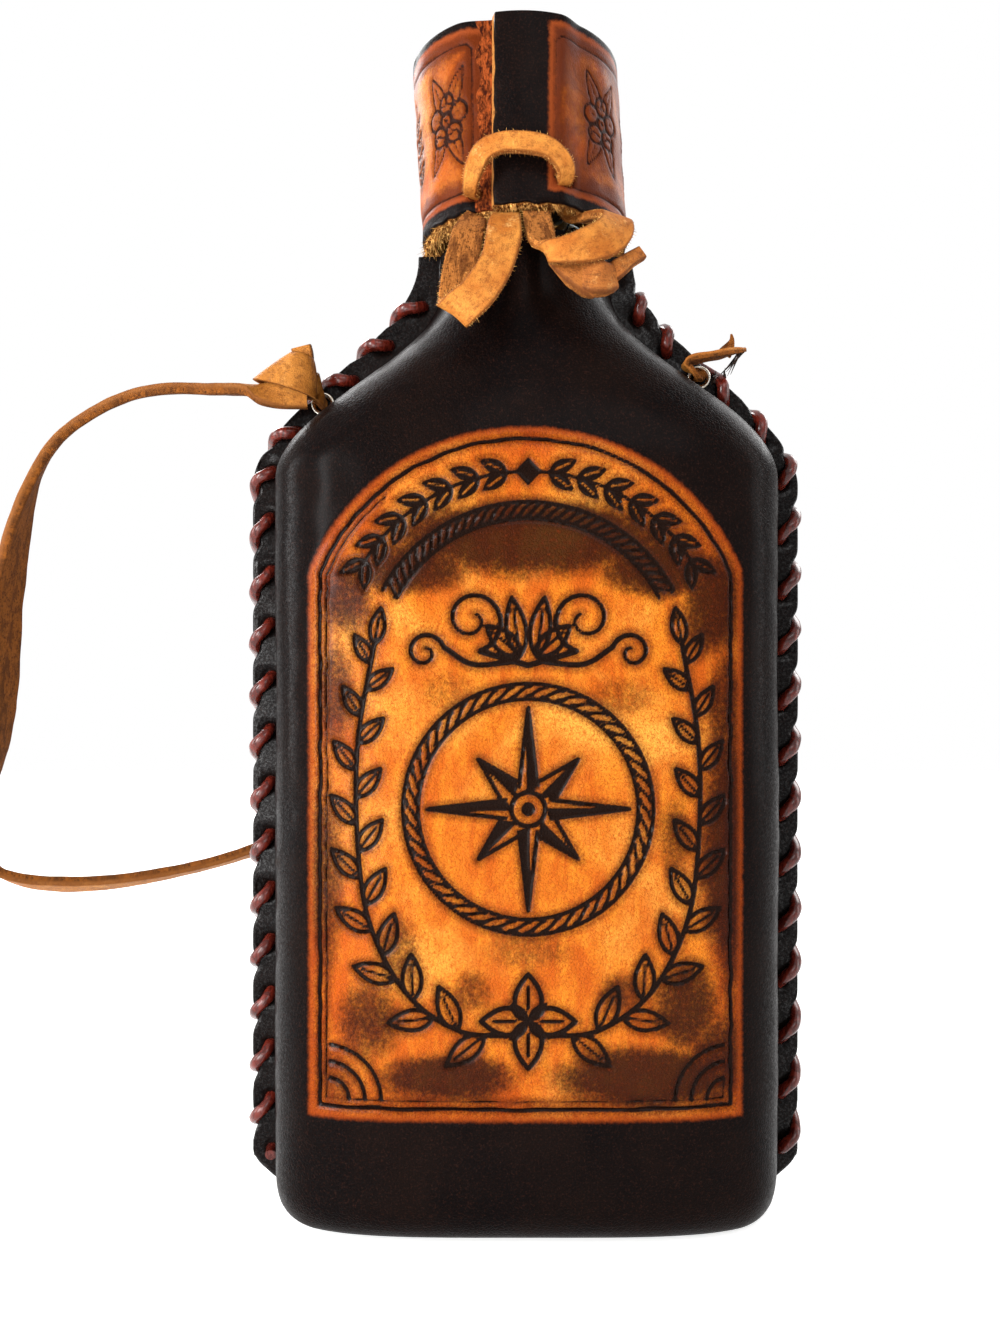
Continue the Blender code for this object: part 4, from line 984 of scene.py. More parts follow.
def coverMaterial(name, tooled):
    # black-brown hide, polished where it is burnished, with the orange panel where it is tooled
    material, n, shader, where = startMaterial(name, Coat_Roughness=0.22, Specular_IOR_Level=0.012)
    grain = grainOf(n, where, 0.62, 13.0, 0.8)
    surface = darkHide(n, where, grain)
    height = grain["Height"]
    rough = n.linear(grain["Blotches"], 0.10, 0.27)
    rough = n.linear(n.noise(where, 1700.0, 4.0, 0.8), 0.12, rough)
    glints = n.between(n.noise(where, 1900.0, 5.0, 0.85), 0.46, 0.62, 0.3, 2.4)
    gloss = n.linear(n.times(attribute(n, "burnish"), glints), 0.26, 0.03)
    scuff = n.noise(n.stretched(where, (60, 60, 900), (0.0, 0.6, 0.0)), 1.0, 6.0, 0.7, 2.0)
    surface = n.blend(n.times(n.between(scuff, 0.69, 0.77), 0.35), surface, colour(92, 80, 74))
    if tooled:
        frayed = n.linear(n.noise(where, 1100.0, 4.0, 0.7), 0.9, -0.45)
        into = n.math("ADD", attribute(n, "panelIn"), frayed)
        orange = orangeHide(n, where)
        shade = n.times(n.between(into, 1.5, 10.0, 1.0, 0.0), 0.5)
        orange = n.blend(shade, orange, leatherColours["shade"], "MULTIPLY")
        rimmed = n.blend(n.between(into, 0.1, 1.5), leatherColours["rim"], orange)
        surface = n.blend(n.between(into, -0.35, 0.5), surface, rimmed)
        height = n.linear(toolMask(n, where, -0.3, 0.25), -1.6, height)
        inPanel = n.between(into, 0.0, 1.0)
        rough = n.linear(inPanel, -0.06, rough)
        gloss = n.linear(inPanel, 0.05, gloss)
        height = n.times(height, n.math("ADD", inPanel, 1.0))
    surface = n.blend(n.times(attribute(n, "burnish"), 0.75), surface, colour(9, 7, 7))
    fleshColour = n.blend(hollowsOf(n, where), leatherColours["flesh"], leatherColours["fleshDark"])
    surface = n.blend(attribute(n, "flesh"), surface, fleshColour)
    n.put(shader.inputs["Base Color"], surface)
    n.put(shader.inputs["Roughness"], rough)
    n.put(shader.inputs["Coat Weight"], gloss)
    bumpOnto(n, shader, height, 0.7, 0.1)
    return material


makeCover(coverMaterial("tooledCoverLeather", True), coverMaterial("plainCoverLeather", False))
print("cover made")

# Side lacing


def laceRoute(side):
    # Each loop is a superellipse round the flange edge, standing still in its hole and stepping on
    # to the next one over the front and the back. The right side is the left one turned half round.
    perLoop = 36
    reachOut = lacing["pulledIn"]
    halfRun = 0.5 * (lacing["inset"] + reachOut)
    halfDepth = cover["slit"] + cover["leather"] + lacing["radius"] + 0.05
    middle = reachOut - halfRun
    holes = stitchRuns(side)
    usual = holes[-1] - holes[-2]
    turn = np.arange(perLoop) * math.tau / perLoop
    power = 2.0 / 2.5
    out = middle - halfRun * np.sign(np.cos(turn)) * np.abs(np.cos(turn)) ** power
    deep = -halfDepth * np.sign(np.sin(turn)) * np.abs(np.sin(turn)) ** power
    share = np.clip((turn - 0.5) / (math.tau - 1.0), 0.0, 1.0)
    step = np.minimum(np.diff(holes), usual)
    extra = np.diff(holes) - step
    crossing = smoothStep(math.pi - 0.4, math.pi + 0.4, turn)
    runs = holes[:-1, None] + step[:, None] * share + extra[:, None] * crossing
    tight = 1.0 + 0.05 * np.sin(3.1 * np.arange(len(step)) + (1 if side == "left" else 4))[:, None]
    outs, deeps = out * tight, deep * (2.0 - tight)
    tail = np.linspace(1.0, 0.0, 8)
    hole = middle - halfRun + 0 * tail
    reach = (halfDepth + 0.2) * np.sqrt(tail)
    runs = np.concatenate([holes[0] - 1.5 * tail, runs.ravel(), holes[-1] + 1.2 * tail[::-1]])
    outs = np.concatenate([hole, outs.ravel(), hole])
    deeps = np.concatenate([reach, deeps.ravel(), -reach[::-1]])
    x, z = onEdge(runs, outs)
    route = np.stack([-x, deeps, z], axis=1)
    return route if side == "left" else route * (-1.0, -1.0, 1.0)


def laceMaterial():
    # waxed round leather: red brown, darker in its folds, glossy
    shine = {"Coat_Roughness": 0.12, "Specular_IOR_Level": 0.26}
    material, n, shader, where = startMaterial("waxedLace", 0.24, **shine)
    streak = n.noise(n.stretched(where, (900, 900, 350)), 1.0, 4.0, 0.6, 1.0)
    twoTones(n, shader, n.between(streak, 0.35, 0.7), (60, 16, 10), (106, 32, 19))
    n.put(shader.inputs["Roughness"], n.between(streak, 0.3, 0.7, 0.24, 0.3))
    n.put(shader.inputs["Coat Weight"], n.between(n.noise(where, 400.0), 0.3, 0.6, 0.12, 0.2))
    bumpOnto(n, shader, n.noise(where, 1500.0, 3.0), 0.07, 0.05)
    return material


def makeLaces():
    # a tube along each route, its section swelling three times round and its radius slowly wandering
    material = laceMaterial()
    for side in sides:
        route = laceRoute(side)
        n = np.arange(len(route))
        radius = lacing["radius"] * (1.0 + 0.05 * np.sin(0.37 * n) + 0.03 * np.sin(0.91 * n + 2))
        around = np.arange(12) * math.tau / 12
        swell = 1.0 + 0.05 * np.cos(3 * around[None] + 0.21 * n[:, None])
        points, faces, uv = roundTube(route, radius, (0, 1, 0), swell)
        replaced = [side + "_lace"]
        makePiece(side + "LaceWrap", points, faces, material, "flask", replaced, uv=uv)


makeLaces()
print("laces made")

# Leather strips: the strap, its knot and the cap's tie

stripShape = {
    "edgeTurn": (-72.0, -34.0, 0.0, 34.0, 72.0),
    "faceShares": (0.92, 0.5, 0.0, -0.5, -0.92),
    "edgeRound": 0.26,       # depth of the rounded edge, as a share of the thickness
    "wander": 0.05,
}


def leatherStrip(stations, steps, seed, grain):
    # A flat strip through stations (place, direction of its width, width, thickness). Its section is
    # a flat bar with rounded edges; the width and the thickness wander a little along it. The grain
    # side looks outwards where grain is 1 and inwards where it is -1.
    rows = through(stations, steps)
    path = rows[:, :3]
    lengths = runAlong(path)
    still = 0.0 * lengths
    width = rows[:, 6] * (1.0 + stripShape["wander"] * softNoise(lengths, still, still, 7.0, seed))
    thick = rows[:, 7] * (1.0 + stripShape["wander"] * softNoise(lengths, still, still, 4.0, seed + 1))
    _, across, out = carryFrames(path, rows[:, 3:6])
    turn, face = np.radians(stripShape["edgeTurn"]), np.array(stripShape["faceShares"])
    one, none = np.ones(len(turn)), np.zeros(len(face))
    flat = np.concatenate([one, face, -one, -face])
    bulge, rise = np.sqrt(np.cos(turn)), np.sign(turn) * np.sqrt(np.abs(np.sin(turn)))
    curved = np.concatenate([bulge, none, -bulge, none])
    up = np.concatenate([rise, one, rise[::-1], -one])
    round_ = stripShape["edgeRound"] * thick
    a = flat * (0.5 * width - round_)[:, None] + curved * round_[:, None]
    b = 0.5 * thick[:, None] * up
    rings = path[:, None] + a[..., None] * across[:, None] + b[..., None] * out[:, None]
    flesh = np.broadcast_to(0.5 - 0.5 * grain * up, a.shape)
    cutEdge = np.broadcast_to(np.abs(curved), a.shape)
    points, faces = stackTubes(rings)
    uv = np.stack([np.broadcast_to(lengths[:, None], a.shape), a], axis=-1).reshape(-1, 2) * 0.1
    return points, faces, uv, {"flesh": flesh, "cutEdge": cutEdge}, path


def makeStrip(name, stations, steps, seed, material, body, finish, replaced=(), grain=1.0):
    # a leather strip as a piece; returns the piece and its path
    points, faces, uv, values, path = leatherStrip(stations, steps, seed, grain)
    return makePiece(name, points, faces, material, body, replaced, values, uv), path


def fibreTufts(roots, ways, lengths, radius, seed, wild=0.45):
    # thin three-sided hairs, each bent a little away from its own direction and drawn to a point
    rng = np.random.default_rng(seed)
    count = len(roots)
    bend = rng.normal(size=(count, 3)) * wild
    t = np.linspace(0.0, 1.0, 4)
    curved = t[:, None] * ways[:, None] + t[:, None] ** 2 * bend[:, None]
    line = roots[:, None] + lengths[:, None, None] * curved
    side = np.cross(ways, rng.normal(size=(count, 3)))
    side /= np.linalg.norm(side, axis=1, keepdims=True)
    up = np.cross(ways, side)
    turn = np.arange(3) * math.tau / 3
    ring = np.cos(turn)[None, :, None] * side[:, None] + np.sin(turn)[None, :, None] * up[:, None]
    rings = line[:, :, None] + (radius * (1.0 - 0.85 * t))[None, :, None, None] * ring[:, None]
    quads = tubeFaces(4, 3)
    first = 12 * np.arange(count)[:, None, None]
    faces = (quads[None] + first).reshape(-1, 4).tolist()
    ends = (np.array([[2, 1, 0], [9, 10, 11]])[None] + first).reshape(-1, 3).tolist()
    return rings.reshape(-1, 3), faces + ends


def stripMaterial(name, tones, flesh, roughness=0.62):
    # veg-tanned strip: mottled grain with fine nicks, matted fibres on the flesh side and the cut edges
    material, n, shader, where = startMaterial(name, roughness, Specular_IOR_Level=0.14)
    low, high, nick, worn = (colour(*tone) for tone in tones)
    fibre, hollow = (colour(*tone) for tone in flesh)
    grain = grainOf(n, where, 0.4, 5.0, 0.35)
    along = n.add("ShaderNodeUVMap", uv_map="UVMap").outputs[0]
    strands = n.noise(n.stretched(along, (7, 42, 1)), 1.0, 5.0, 0.75, 0.9)
    nap = n.noise(where, 2300.0, 4.0, 0.75)
    top = n.blend(grain["Blotches"], low, high)
    suede = n.linear(n.noise(where, 760.0, 6.0, 0.85), 0.7, n.times(strands, 0.3))
    top = n.blend(n.times(n.between(suede, 0.45, 0.62), 0.8), top, nick)
    wear = n.linear(n.noise(where, 170.0, 4.0, 0.7), 0.7, n.times(nap, 0.3))
    top = n.blend(n.times(n.between(wear, 0.54, 0.66), 0.75), top, worn)
    # cut edges darkened with the nick tone: their own darker fibres, and painted shade where the band turns
    # away
    rim = n.between(n.linear(nap, 0.6, attribute(n, "cutEdge")), 0.4, 1.0)
    top = n.blend(n.times(rim, 0.75), top, nick)
    hollows = n.between(n.linear(nap, 0.5, n.times(strands, 0.5)), 0.53, 0.4)
    soil = n.noise(n.stretched(along, (2.0, 6.0, 1)), 1.0, 4.0, 0.7, 0.6)
    below = n.blend(n.between(soil, 0.44, 0.62, 0.0, 0.75), n.blend(hollows, fibre, hollow), hollow)
    torn = n.math("ADD", attribute(n, "flesh"), n.linear(nap, 0.5, -0.25))
    share = n.between(torn, 0.25, 0.62)
    n.put(shader.inputs["Base Color"], n.blend(share, top, below))
    n.put(shader.inputs["Roughness"], n.linear(share, 0.3, roughness))
    heights = {2: n.linear(nap, 0.5, grain["Height"]), 3: n.linear(strands, 4.0, nap)}
    height = n.add("ShaderNodeMix", {0: share, **heights}, data_type="FLOAT").outputs[0]
    bumpOnto(n, shader, height, 0.7, 0.16)
    return material


def eyeletPlace(side):
    # x and z of an eyelet's middle: its run on the edge, moved in square to it
    x, z = onEdge(eyeletRun(side), -lacing["eyeletInset"])
    return sides[side] * float(x), float(z)


strap = {
    "width": 7.0,
    "thick": 2.0,
    "throughHole": (1.9, 1.3),
    "rimLevel": 3.6,         # how far the eyelet's rims stand from the middle plane
    "knotTop": (-40.9, -8.2, 157.4),
    "knotRim": (-44.2, -8.0, 151.0),
    "knotTopSize": (1.9, 1.5),
    "knotRimSize": (6.1, 3.9),
    "knotTilt": -17.0,
    "knotWall": 1.5,
}


def strapRoute():
    # from the knot at the left eyelet, out and down beside the flask, behind it, and up to the right eyelet
    rightX, rightZ = eyeletPlace("right")
    wide, thin, face = strap["width"], strap["thick"], strap["rimLevel"] + 0.3
    free = [
        ((-40.3, -face - 4.2, 151.1), (0.05, 0.0, 1.0)),
        ((-44.1, -face - 4.6, 150.9), (0.05, 0.1, 1.0)),
        ((-47.1, -face - 4.2, 151.0), (-0.1, 0.5, 0.8)),
        ((-50.4, -face - 3.0, 151.3), (-0.2, 0.95, 0.25)),
        ((-59, -4.5, 152.0), (-0.26, 0.94, 0.22)),
        ((-67, -3, 152.5), (-0.29, 0.93, 0.22)),
        ((-75, -1.5, 151.6), (-0.33, 0.92, 0.22)),
        ((-83, 0, 148.5), (-0.36, 0.91, 0.2)),
        ((-90, 1, 143.6), (-0.38, 0.91, 0.15)),
        ((-95, 2.2, 136.5), (-0.3, 0.94, 0.12)),
        ((-98.6, 3.8, 127.0), (0.05, 0.99, 0.1)),
        ((-101.2, 5.4, 116.5), (0.3, 0.94, 0.05)),
        ((-102.8, 6.8, 106.5), (0.36, 0.92, 0.0)),
        ((-103.8, 8.2, 96.5), (0.3, 0.95, 0.0)),
        ((-105.4, 9.8, 86.5), (0.1, 0.98, 0.1)),
        ((-108.6, 12.0, 76.2), (-0.1, 0.97, 0.2)),
        ((-111.6, 14.5, 67.0), (-0.2, 0.95, 0.2)),
        ((-111.2, 17.0, 59.6), (-0.3, 0.93, -0.1)),
        ((-106, 19.0, 55.8), (-0.3, 0.9, -0.3)),
        ((-98, 21.0, 54.2), (-0.3, 0.88, -0.38)),
        ((-88, 23.0, 54.2), (-0.27, 0.9, -0.36)),
        ((-78, 25.2, 55.4), (-0.24, 0.92, -0.3)),
        ((-67, 27.4, 57.6), (-0.22, 0.94, -0.26)),
        ((-56, 29.0, 60.9), (-0.18, 0.92, -0.34)),
        ((-48, 29.8, 63.9), (-0.05, 0.75, -0.65)),
        ((-41, 30, 66.6), (0.1, 0.4, -0.9)),
        ((-26, 30, 73.8), (0.3, 0.2, -0.9)),
        ((-11, 30, 83.6), (0.5, 0.0, -0.85)),
        ((3, 30, 96.6), (0.6, 0.0, -0.8)),
        ((15, 30, 111.4), (0.7, 0.0, -0.7)),
        ((26, 29.5, 126.0), (0.8, 0.0, -0.6)),
        ((34, 28, 138.6), (0.85, 0.0, -0.5)),
        ((rightX, 24.0, rightZ - 6.6), (0.9, 0.0, -0.3)),
    ]
    rows = [(*place, *way, wide, thin) for place, way in free]
    rows.append((rightX + 1.0, 17.0, rightZ - 0.6, 0.9, 0.0, -0.1, 5.6, thin))
    rows.append((rightX + 0.6, 10.0, rightZ + 1.0, 1.0, 0.0, 0.0, 3.4, 1.8))
    rows.append((rightX, face + 2.0, rightZ, 1.0, 0.0, 0.0, *strap["throughHole"]))
    rows.append((rightX, 0.0, rightZ, 1.0, 0.0, 0.0, *strap["throughHole"]))
    rows.append((rightX, -face, rightZ, 1.0, 0.0, 0.0, *strap["throughHole"]))
    return rows


def knotWrap():
    # The strap's turn round itself: a leaning cone of leather, open below. Rings run down its
    # outside, round the rim and up the inside. From the top to the rim its half width grows as t^0.8
    # and its half depth as t^0.7.
    rows = np.linspace(0.0, 1.0, 16)[:, None]
    inward = np.linspace(1.0, 0.3, 9)[:, None]
    t = np.concatenate([rows, [[1.01]], inward])
    wall = np.concatenate([np.zeros(len(rows)), [0.5], np.ones(len(inward))])[:, None] * strap["knotWall"]
    top, rim = np.array(strap["knotTop"]), np.array(strap["knotRim"])
    halfTop, halfRim = strap["knotTopSize"], strap["knotRimSize"]
    wide = halfTop[0] + (halfRim[0] - halfTop[0]) * t**0.8 - wall
    deep = halfTop[1] + (halfRim[1] - halfTop[1]) * t**0.7 - wall
    turn = np.arange(56)[None] * math.tau / 56
    crease = 1.0 - 0.05 * np.exp(-(((turn - 4.1) / 0.16) ** 2)) + 0.02 * np.sin(3 * turn + 4 * t)
    x, y = wide * np.cos(turn) * crease, deep * np.sin(turn) * crease
    tilt = math.radians(strap["knotTilt"])
    middle = top + (rim - top) * t[:, :, None]
    rings = middle + np.stack([x * math.cos(tilt), y, x * math.sin(tilt)], axis=-1)
    flesh = np.broadcast_to(wall / strap["knotWall"], x.shape)
    uv = np.stack(np.broadcast_arrays(turn * 0.5, t * 0.8), axis=-1).reshape(-1, 2)
    points, faces = stackTubes(rings)
    return points, faces, uv, {"flesh": flesh, "cutEdge": flesh}


def rightEndStations():
    # in front of the right eyelet the strap's end curls to the left and lies across, edge on to us
    x, z = eyeletPlace("right")
    face = strap["rimLevel"] + 0.3
    return [
        (x, -face + 1.0, z, 1.0, 0.0, 0.0, *strap["throughHole"]),
        (x + 0.1, -face - 1.2, z, 0.8, 0.0, 0.5, 2.0, 1.2),
        (x - 0.6, -face - 2.2, z - 0.2, 0.2, 0.5, 0.8, 2.4, 1.1),
        (x - 2.2, -face - 3.0, z + 0.4, 0.0, 1.0, 0.2, 3.0, 1.1),
        (x - 3.2, -face - 3.4, z + 1.3, 0.0, 1.0, 0.0, 3.6, 1.0),
        (x - 2.2, -face - 3.6, z + 2.1, 0.0, 1.0, 0.0, 4.2, 1.1),
        (x + 0.6, -face - 3.8, z + 2.6, 0.0, 1.0, 0.1, 4.8, 1.2),
        (x + 3.8, -face - 3.8, z + 3.2, 0.0, 1.0, 0.1, 4.8, 1.2),
        (x + 6.0, -face - 3.2, z + 3.8, 0.0, 1.0, 0.2, 4.0, 1.0),
        (x + 7.6, -face - 2.8, z + 4.2, 0.0, 1.0, 0.3, 2.2, 0.7),
    ]


def makeStrap():
    # the free band as a cord, with the knot at its left end and the torn end at its right
    tan = ((158, 96, 34), (190, 122, 50), (106, 58, 20), (216, 150, 78))
    torn = ((200, 124, 50), (228, 156, 76), (150, 86, 34), (240, 190, 120))
    brown = ((134, 76, 26), (74, 40, 14))
    material = stripMaterial("tanStrapLeather", tan, brown)
    tornMaterial = stripMaterial("tornStrapLeather", torn, brown)
    usual = (material, "flask", "tan_leather")
    band, path = makeStrip("carryingStrapBand", strapRoute(), 6, 11, *usual, ["carrying_strap"], -1.0)
    points, faces, uv, values = knotWrap()
    wrap = makePiece("leftKnotWrap", points, faces, material, "flask", (), values, uv, 60)
    leftX, leftZ = eyeletPlace("left")
    top = np.array(strap["knotTop"])
    shifts = ((0.3, 0.4, -2.4, 3.2, 1.5), (0, 0, 0, 3.6, 1.6), (-0.3, -0.1, 1.3, 3.7, 1.6))
    tab = [(*(top + (x, y, z)), 1, 0, -0.3, wide, thick) for x, y, z, wide, thick in shifts]
    tip, _ = makeStrip("leftKnotTab", tab, 6, 12, *usual, (), -1.0)
    face = strap["rimLevel"] + 0.3
    slim = strap["throughHole"]
    inHole = [
        (leftX, face + 3.0, leftZ + 0.3, 0, 0, 1, 3.0, 1.8),
        (leftX, face, leftZ, 0, 0, 1, *slim),
        (leftX, -face, leftZ, 0, 0, 1, *slim),
        (leftX - 0.8, -face - 1.8, leftZ + 1.4, 0, 0, 1, 2.6, 1.8),
        (leftX - 1.8, -face - 3.6, leftZ + 4.0, 0.6, 0, 0.8, 3.6, 2.0),
    ]
    stub, _ = makeStrip("leftStrapStub", inHole, 6, 13, *usual, (), -1.0)
    end, endPath = makeStrip("rightStrapEnd", rightEndStations(), 6, 14, tornMaterial, *usual[1:])
    pieces = [wrap, tip, stub, end, makeFrays(endPath[-1]), makeSpike(endPath, tornMaterial)]


def makeFrays(tip):
    # torn end of the strap: dark waxed threads from its tip down to the flange, stubs standing on the flange
    rng = np.random.default_rng(41)
    material, n, shader, where = startMaterial("frayedThread", 0.7, Specular_IOR_Level=0.2)
    twoTones(n, shader, n.between(n.noise(where, 700.0), 0.4, 0.6), (20, 15, 12), (48, 30, 20))
    x, z = eyeletPlace("right")
    tips = tip + rng.normal(size=(5, 3)) * (0.35, 0.5, 0.2)
    ends = np.array([x + 4.3, -3.6, z + 0.6]) + rng.normal(size=(5, 3)) * (0.7, 0.6, 0.8)
    stubs = np.array([x + 3.4, -3.2, z - 0.8]) + rng.uniform(-1.0, 1.0, (9, 3)) * (1.6, 0.8, 0.5)
    stubWays = np.stack([rng.uniform(-0.4, 0.3, 9), rng.uniform(-0.3, 0.1, 9), np.ones(9)], axis=1)
    lengths = np.concatenate([np.linalg.norm(ends - tips, axis=1), rng.uniform(1.2, 2.6, 9)])
    ways = np.concatenate([(ends - tips) / lengths[:5, None], stubWays])
    points, faces = fibreTufts(np.concatenate([tips, stubs]), ways, lengths, 0.28, 42, 0.12)
    return makePiece("rightStrapFrays", points, faces, material, "flask", ())


def makeSpike(path, material):
    # a torn splinter of the strap standing up from its end
    root = path[np.argmin(np.abs(path[:, 0] - path[-1, 0] + 2.6))]
    stations = [
        (*(root + (-1.0, 0.0, -0.2)), 0.9, 0.0, -0.4, 2.6, 1.2),
        (*(root + (-0.2, 0.1, 1.0)), 0.9, 0.0, -0.3, 1.9, 1.0),
        (*(root + (0.3, 0.1, 2.3)), 0.9, 0.0, -0.2, 0.9, 0.6),
        (*(root + (0.2, 0.1, 3.4)), 0.9, 0.0, -0.2, 0.35, 0.3),
    ]
    return makeStrip("rightStrapSplinter", stations, 5, 15, material, "flask", "tan_leather")[0]


makeStrap()
print("strap made")

# Leather sleeve round the cap

sleeve = {
    "bottom": 180.0,
    "height": 33.2,
    "inner": 16.93,
    "leather": 2.5,
    "skived": 1.1,
    "lapEdge": 1.8,
    "seat": 0.3,
    "lean": 0.06,
    "twist": -0.2,           # degrees for each mm of height, so the lap stands upright on the leaning sleeve
    "lapStart": -15.0,       # degrees from the front, counted towards the left
    "lapEnd": 19.5,
    "skiveEnd": 40.0,
    "climb": 15.0,
    "holes": {30.0: 3.6, -20.5: 4.8},
    "firstMotif": 47.0,
    "lastMotif": 315.0,
    "motifs": 9,
    "bandStart": 350.5,      # the black band on the lap begins here
    "rawEnd": 28.0,          # and the raw skived stretch ends here
    "border": (2.1, 1.5),    # black borders at the bottom and the top
    "cutEdge": 2.8,          # degrees of pale slanting cut at the lap's end
    "depth": 0.35,
    "finer": 0.07,           # taken off each line's half width
    "edgeRound": 0.45,
    "faceRadius": 19.4,      # middle radius of the outer face, for widths round it
}
degree = math.radians(1.0)


def sleeveRadii(degrees):
    # inner and outer radius round the strip, thin where it is tucked and climbing over itself at the lap
    end = 360.0 + sleeve["lapStart"]
    thin, full = sleeve["skived"], sleeve["leather"]
    grown = smoothStep(sleeve["lapEnd"], sleeve["skiveEnd"], degrees)
    thinned = smoothStep(end - sleeve["climb"], 360.0 + sleeve["lapEnd"], degrees)
    thick = thin + (full - thin) * grown + (sleeve["lapEdge"] - full) * thinned
    climbed = smoothStep(end - sleeve["climb"], end, degrees)
    inner = sleeve["inner"] + (thin + sleeve["seat"]) * climbed
    return inner, inner + thick


def onSleeve(degrees, radius, height):
    # a point by its angle from the front towards the left; height counts from the sleeve's lower edge
    turn = np.radians(degrees + sleeve["twist"] * height)
    x = -sleeve["lean"] * height - radius * np.sin(turn)
    return np.stack(np.broadcast_arrays(x, -radius * np.cos(turn), sleeve["bottom"] + height), axis=-1)


def flower(tool, centre, size):
    # five round petals, each a closed loop, round a ring and a dot
    for k in range(5):
        turn = math.radians(72 * k)
        middle = fromUp(centre, 0.62 * size, turn)
        tool.closed(arc(middle, 0.36 * size, 0, 340, 14), 0.34)
        tool.line([fromUp(centre, 0.34 * size, turn), middle], 0.18)
    tool.closed(arc(centre, 0.24 * size, 0, 330, 12), 0.28)
    tool.filled(arc(centre, 0.1 * size, 0, 300, 8))


def sprig(tool, foot, height, lean):
    # an upright stem with leaves in pairs and one at its tip
    stem = np.array([(0.0, 0.0), (0.5 * lean, 0.5 * height), (lean, height)]) + foot
    path = through(stem, 6)
    tool.line(path, 0.36)
    for share in (0.14, 0.38, 0.62, 0.84):
        root = path[int(share * (len(path) - 1))]
        for side in (-48, 48):
            long = 0.30 * height * (1.15 - 0.4 * share)
            veined(tool, leafOutline(root, side, long, 0.13 * height, 9), 0.32, 0.2, 7)
    tool.closed(leafOutline(path[-1], 4 * lean, 0.26 * height, 0.13 * height, 9)[0], 0.25)


def drawSleeve(along, height):
    # along and height in mm on the unrolled strip; returns the tooling distance and the smudges
    tool = Tooling(along, height)
    reach = degree * (sleeve["inner"] + sleeve["leather"])
    low, high = 3.7, sleeve["height"] - 3.9
    left, right = (sleeve["rawEnd"] + 2.4) * reach, (sleeve["bandStart"] - 3.2) * reach
    tool.line([
        (left, low + 2), (left + 0.2, high - 1), (left + 1.2, high), (right - 1.2, high), (right, high - 1),
        (right, low + 1), (right - 1, low), (left + 1, low), (left, low + 2),
    ], 0.27)
    warps = ((6.0, 51), (5.0, 52), (5.0, 53))
    cloud, side, rim = (softNoise(along, height, 0 * along, wide, seed) for wide, seed in warps)
    smudge = np.zeros(along.shape)
    for k, degrees in enumerate(np.linspace(sleeve["firstMotif"], sleeve["lastMotif"], sleeve["motifs"])):
        middle = np.array([degrees * reach, 0.5 * sleeve["height"]])
        if k % 2 == 1:
            sprig(tool, middle + (-0.6, -7.4), 12.8, 1.4)
        else:
            flower(tool, middle + (0.0, 0.6), 4.8)
            for turned in (24, 156, 204, 336):
                outline, rib = leafOutline(middle + (0, 0.6), turned, 9.4, 3.0, 11)
                tool.closed(outline[3:-3], 0.26)
                tool.line(rib[5:9], 0.18)
        far = ((along - middle[0]) / 4.8) ** 2 + ((height - middle[1]) / 8.5) ** 2
        smudge = np.maximum(smudge, 0.42 * smoothStep(1.9, 0.1, far + 0.6 * cloud))
    fromSide = np.minimum(along - left, right - along)
    smudge = np.maximum(smudge, smoothStep(4.2, 0.0, fromSide + 0.9 * side))
    fromRim = np.minimum(height - low, high - height)
    smudge = np.maximum(smudge, 0.85 * smoothStep(4.4, 0.2, fromRim + 0.8 * rim))
    return tool.field + sleeve["finer"], smudge


def sleeveMaterial():
    # orange tooled leather with a black border and a black lap band, raw where it is skived
    shine = {"Coat_Roughness": 0.25, "Specular_IOR_Level": 0.02}
    material, n, shader, where = startMaterial("tooledSleeveLeather", 0.4, **shine)
    grain = grainOf(n, where, 0.5, 8.0, 0.45)
    orange = n.blend(0.4, orangeHide(n, where), leatherColours["rim"])
    # mottled darkening: the old hide's own, lightly everywhere, and painted shade growing round the back to
    # the right side
    clouds = n.noise(where, 120.0, 4.0, 0.65, 0.6)
    ageAndShade = n.times(attribute(n, "ageAndRightShade"), n.between(clouds, 0.3, 0.6, 0.35, 1.0))
    orange = n.blend(n.times(ageAndShade, 0.85), orange, colour(84, 38, 22))
    stain = n.noise(n.stretched(where, (210, 210, 300)), 1.0, 6.0, 0.7, 1.2)
    orange = n.blend(n.between(stain, 0.55, 0.7, 0.0, 0.62), orange, colour(96, 40, 18))
    orange = n.blend(toolMask(n, where, -0.12, 0.12), orange, colour(38, 17, 9))
    torn = n.linear(n.noise(where, 800.0, 4.0, 0.7), 1.2, -0.6)
    inside = n.math("ADD", attribute(n, "border"), torn)
    rimmed = n.blend(n.between(inside, 0.3, 1.6), colour(132, 60, 26), orange)
    surface = n.blend(n.between(inside, -0.35, 0.45), darkHide(n, where, grain), rimmed)
    raw = n.between(n.math("ADD", attribute(n, "raw"), n.times(torn, 0.5)), 0.35, 0.65)
    rough = n.noise(n.stretched(where, (1, 1, 0.4)), 1200.0, 5.0, 0.8, 0.4)
    rawTone = n.blend(n.between(rough, 0.4, 0.66), colour(50, 20, 12), colour(164, 78, 34))
    surface = n.blend(raw, surface, rawTone)
    fleshTone = n.blend(hollowsOf(n, where), colour(186, 124, 62), colour(84, 44, 20))
    flesh = attribute(n, "flesh")
    bare = n.math("MAXIMUM", raw, flesh)
    n.put(shader.inputs["Base Color"], n.blend(flesh, surface, fleshTone))
    n.put(shader.inputs["Roughness"], n.math("MAXIMUM", n.times(flesh, 0.9), n.linear(raw, 0.4, 0.38)))
    n.put(shader.inputs["Coat Weight"], n.linear(bare, -0.02, 0.02))
    height = n.linear(toolMask(n, where, -0.25, 0.2), -1.4, grain["Height"])
    height = n.linear(bare, n.times(rough, 4.0), height)
    bumpOnto(n, shader, height, 0.55, 0.1)
    return material


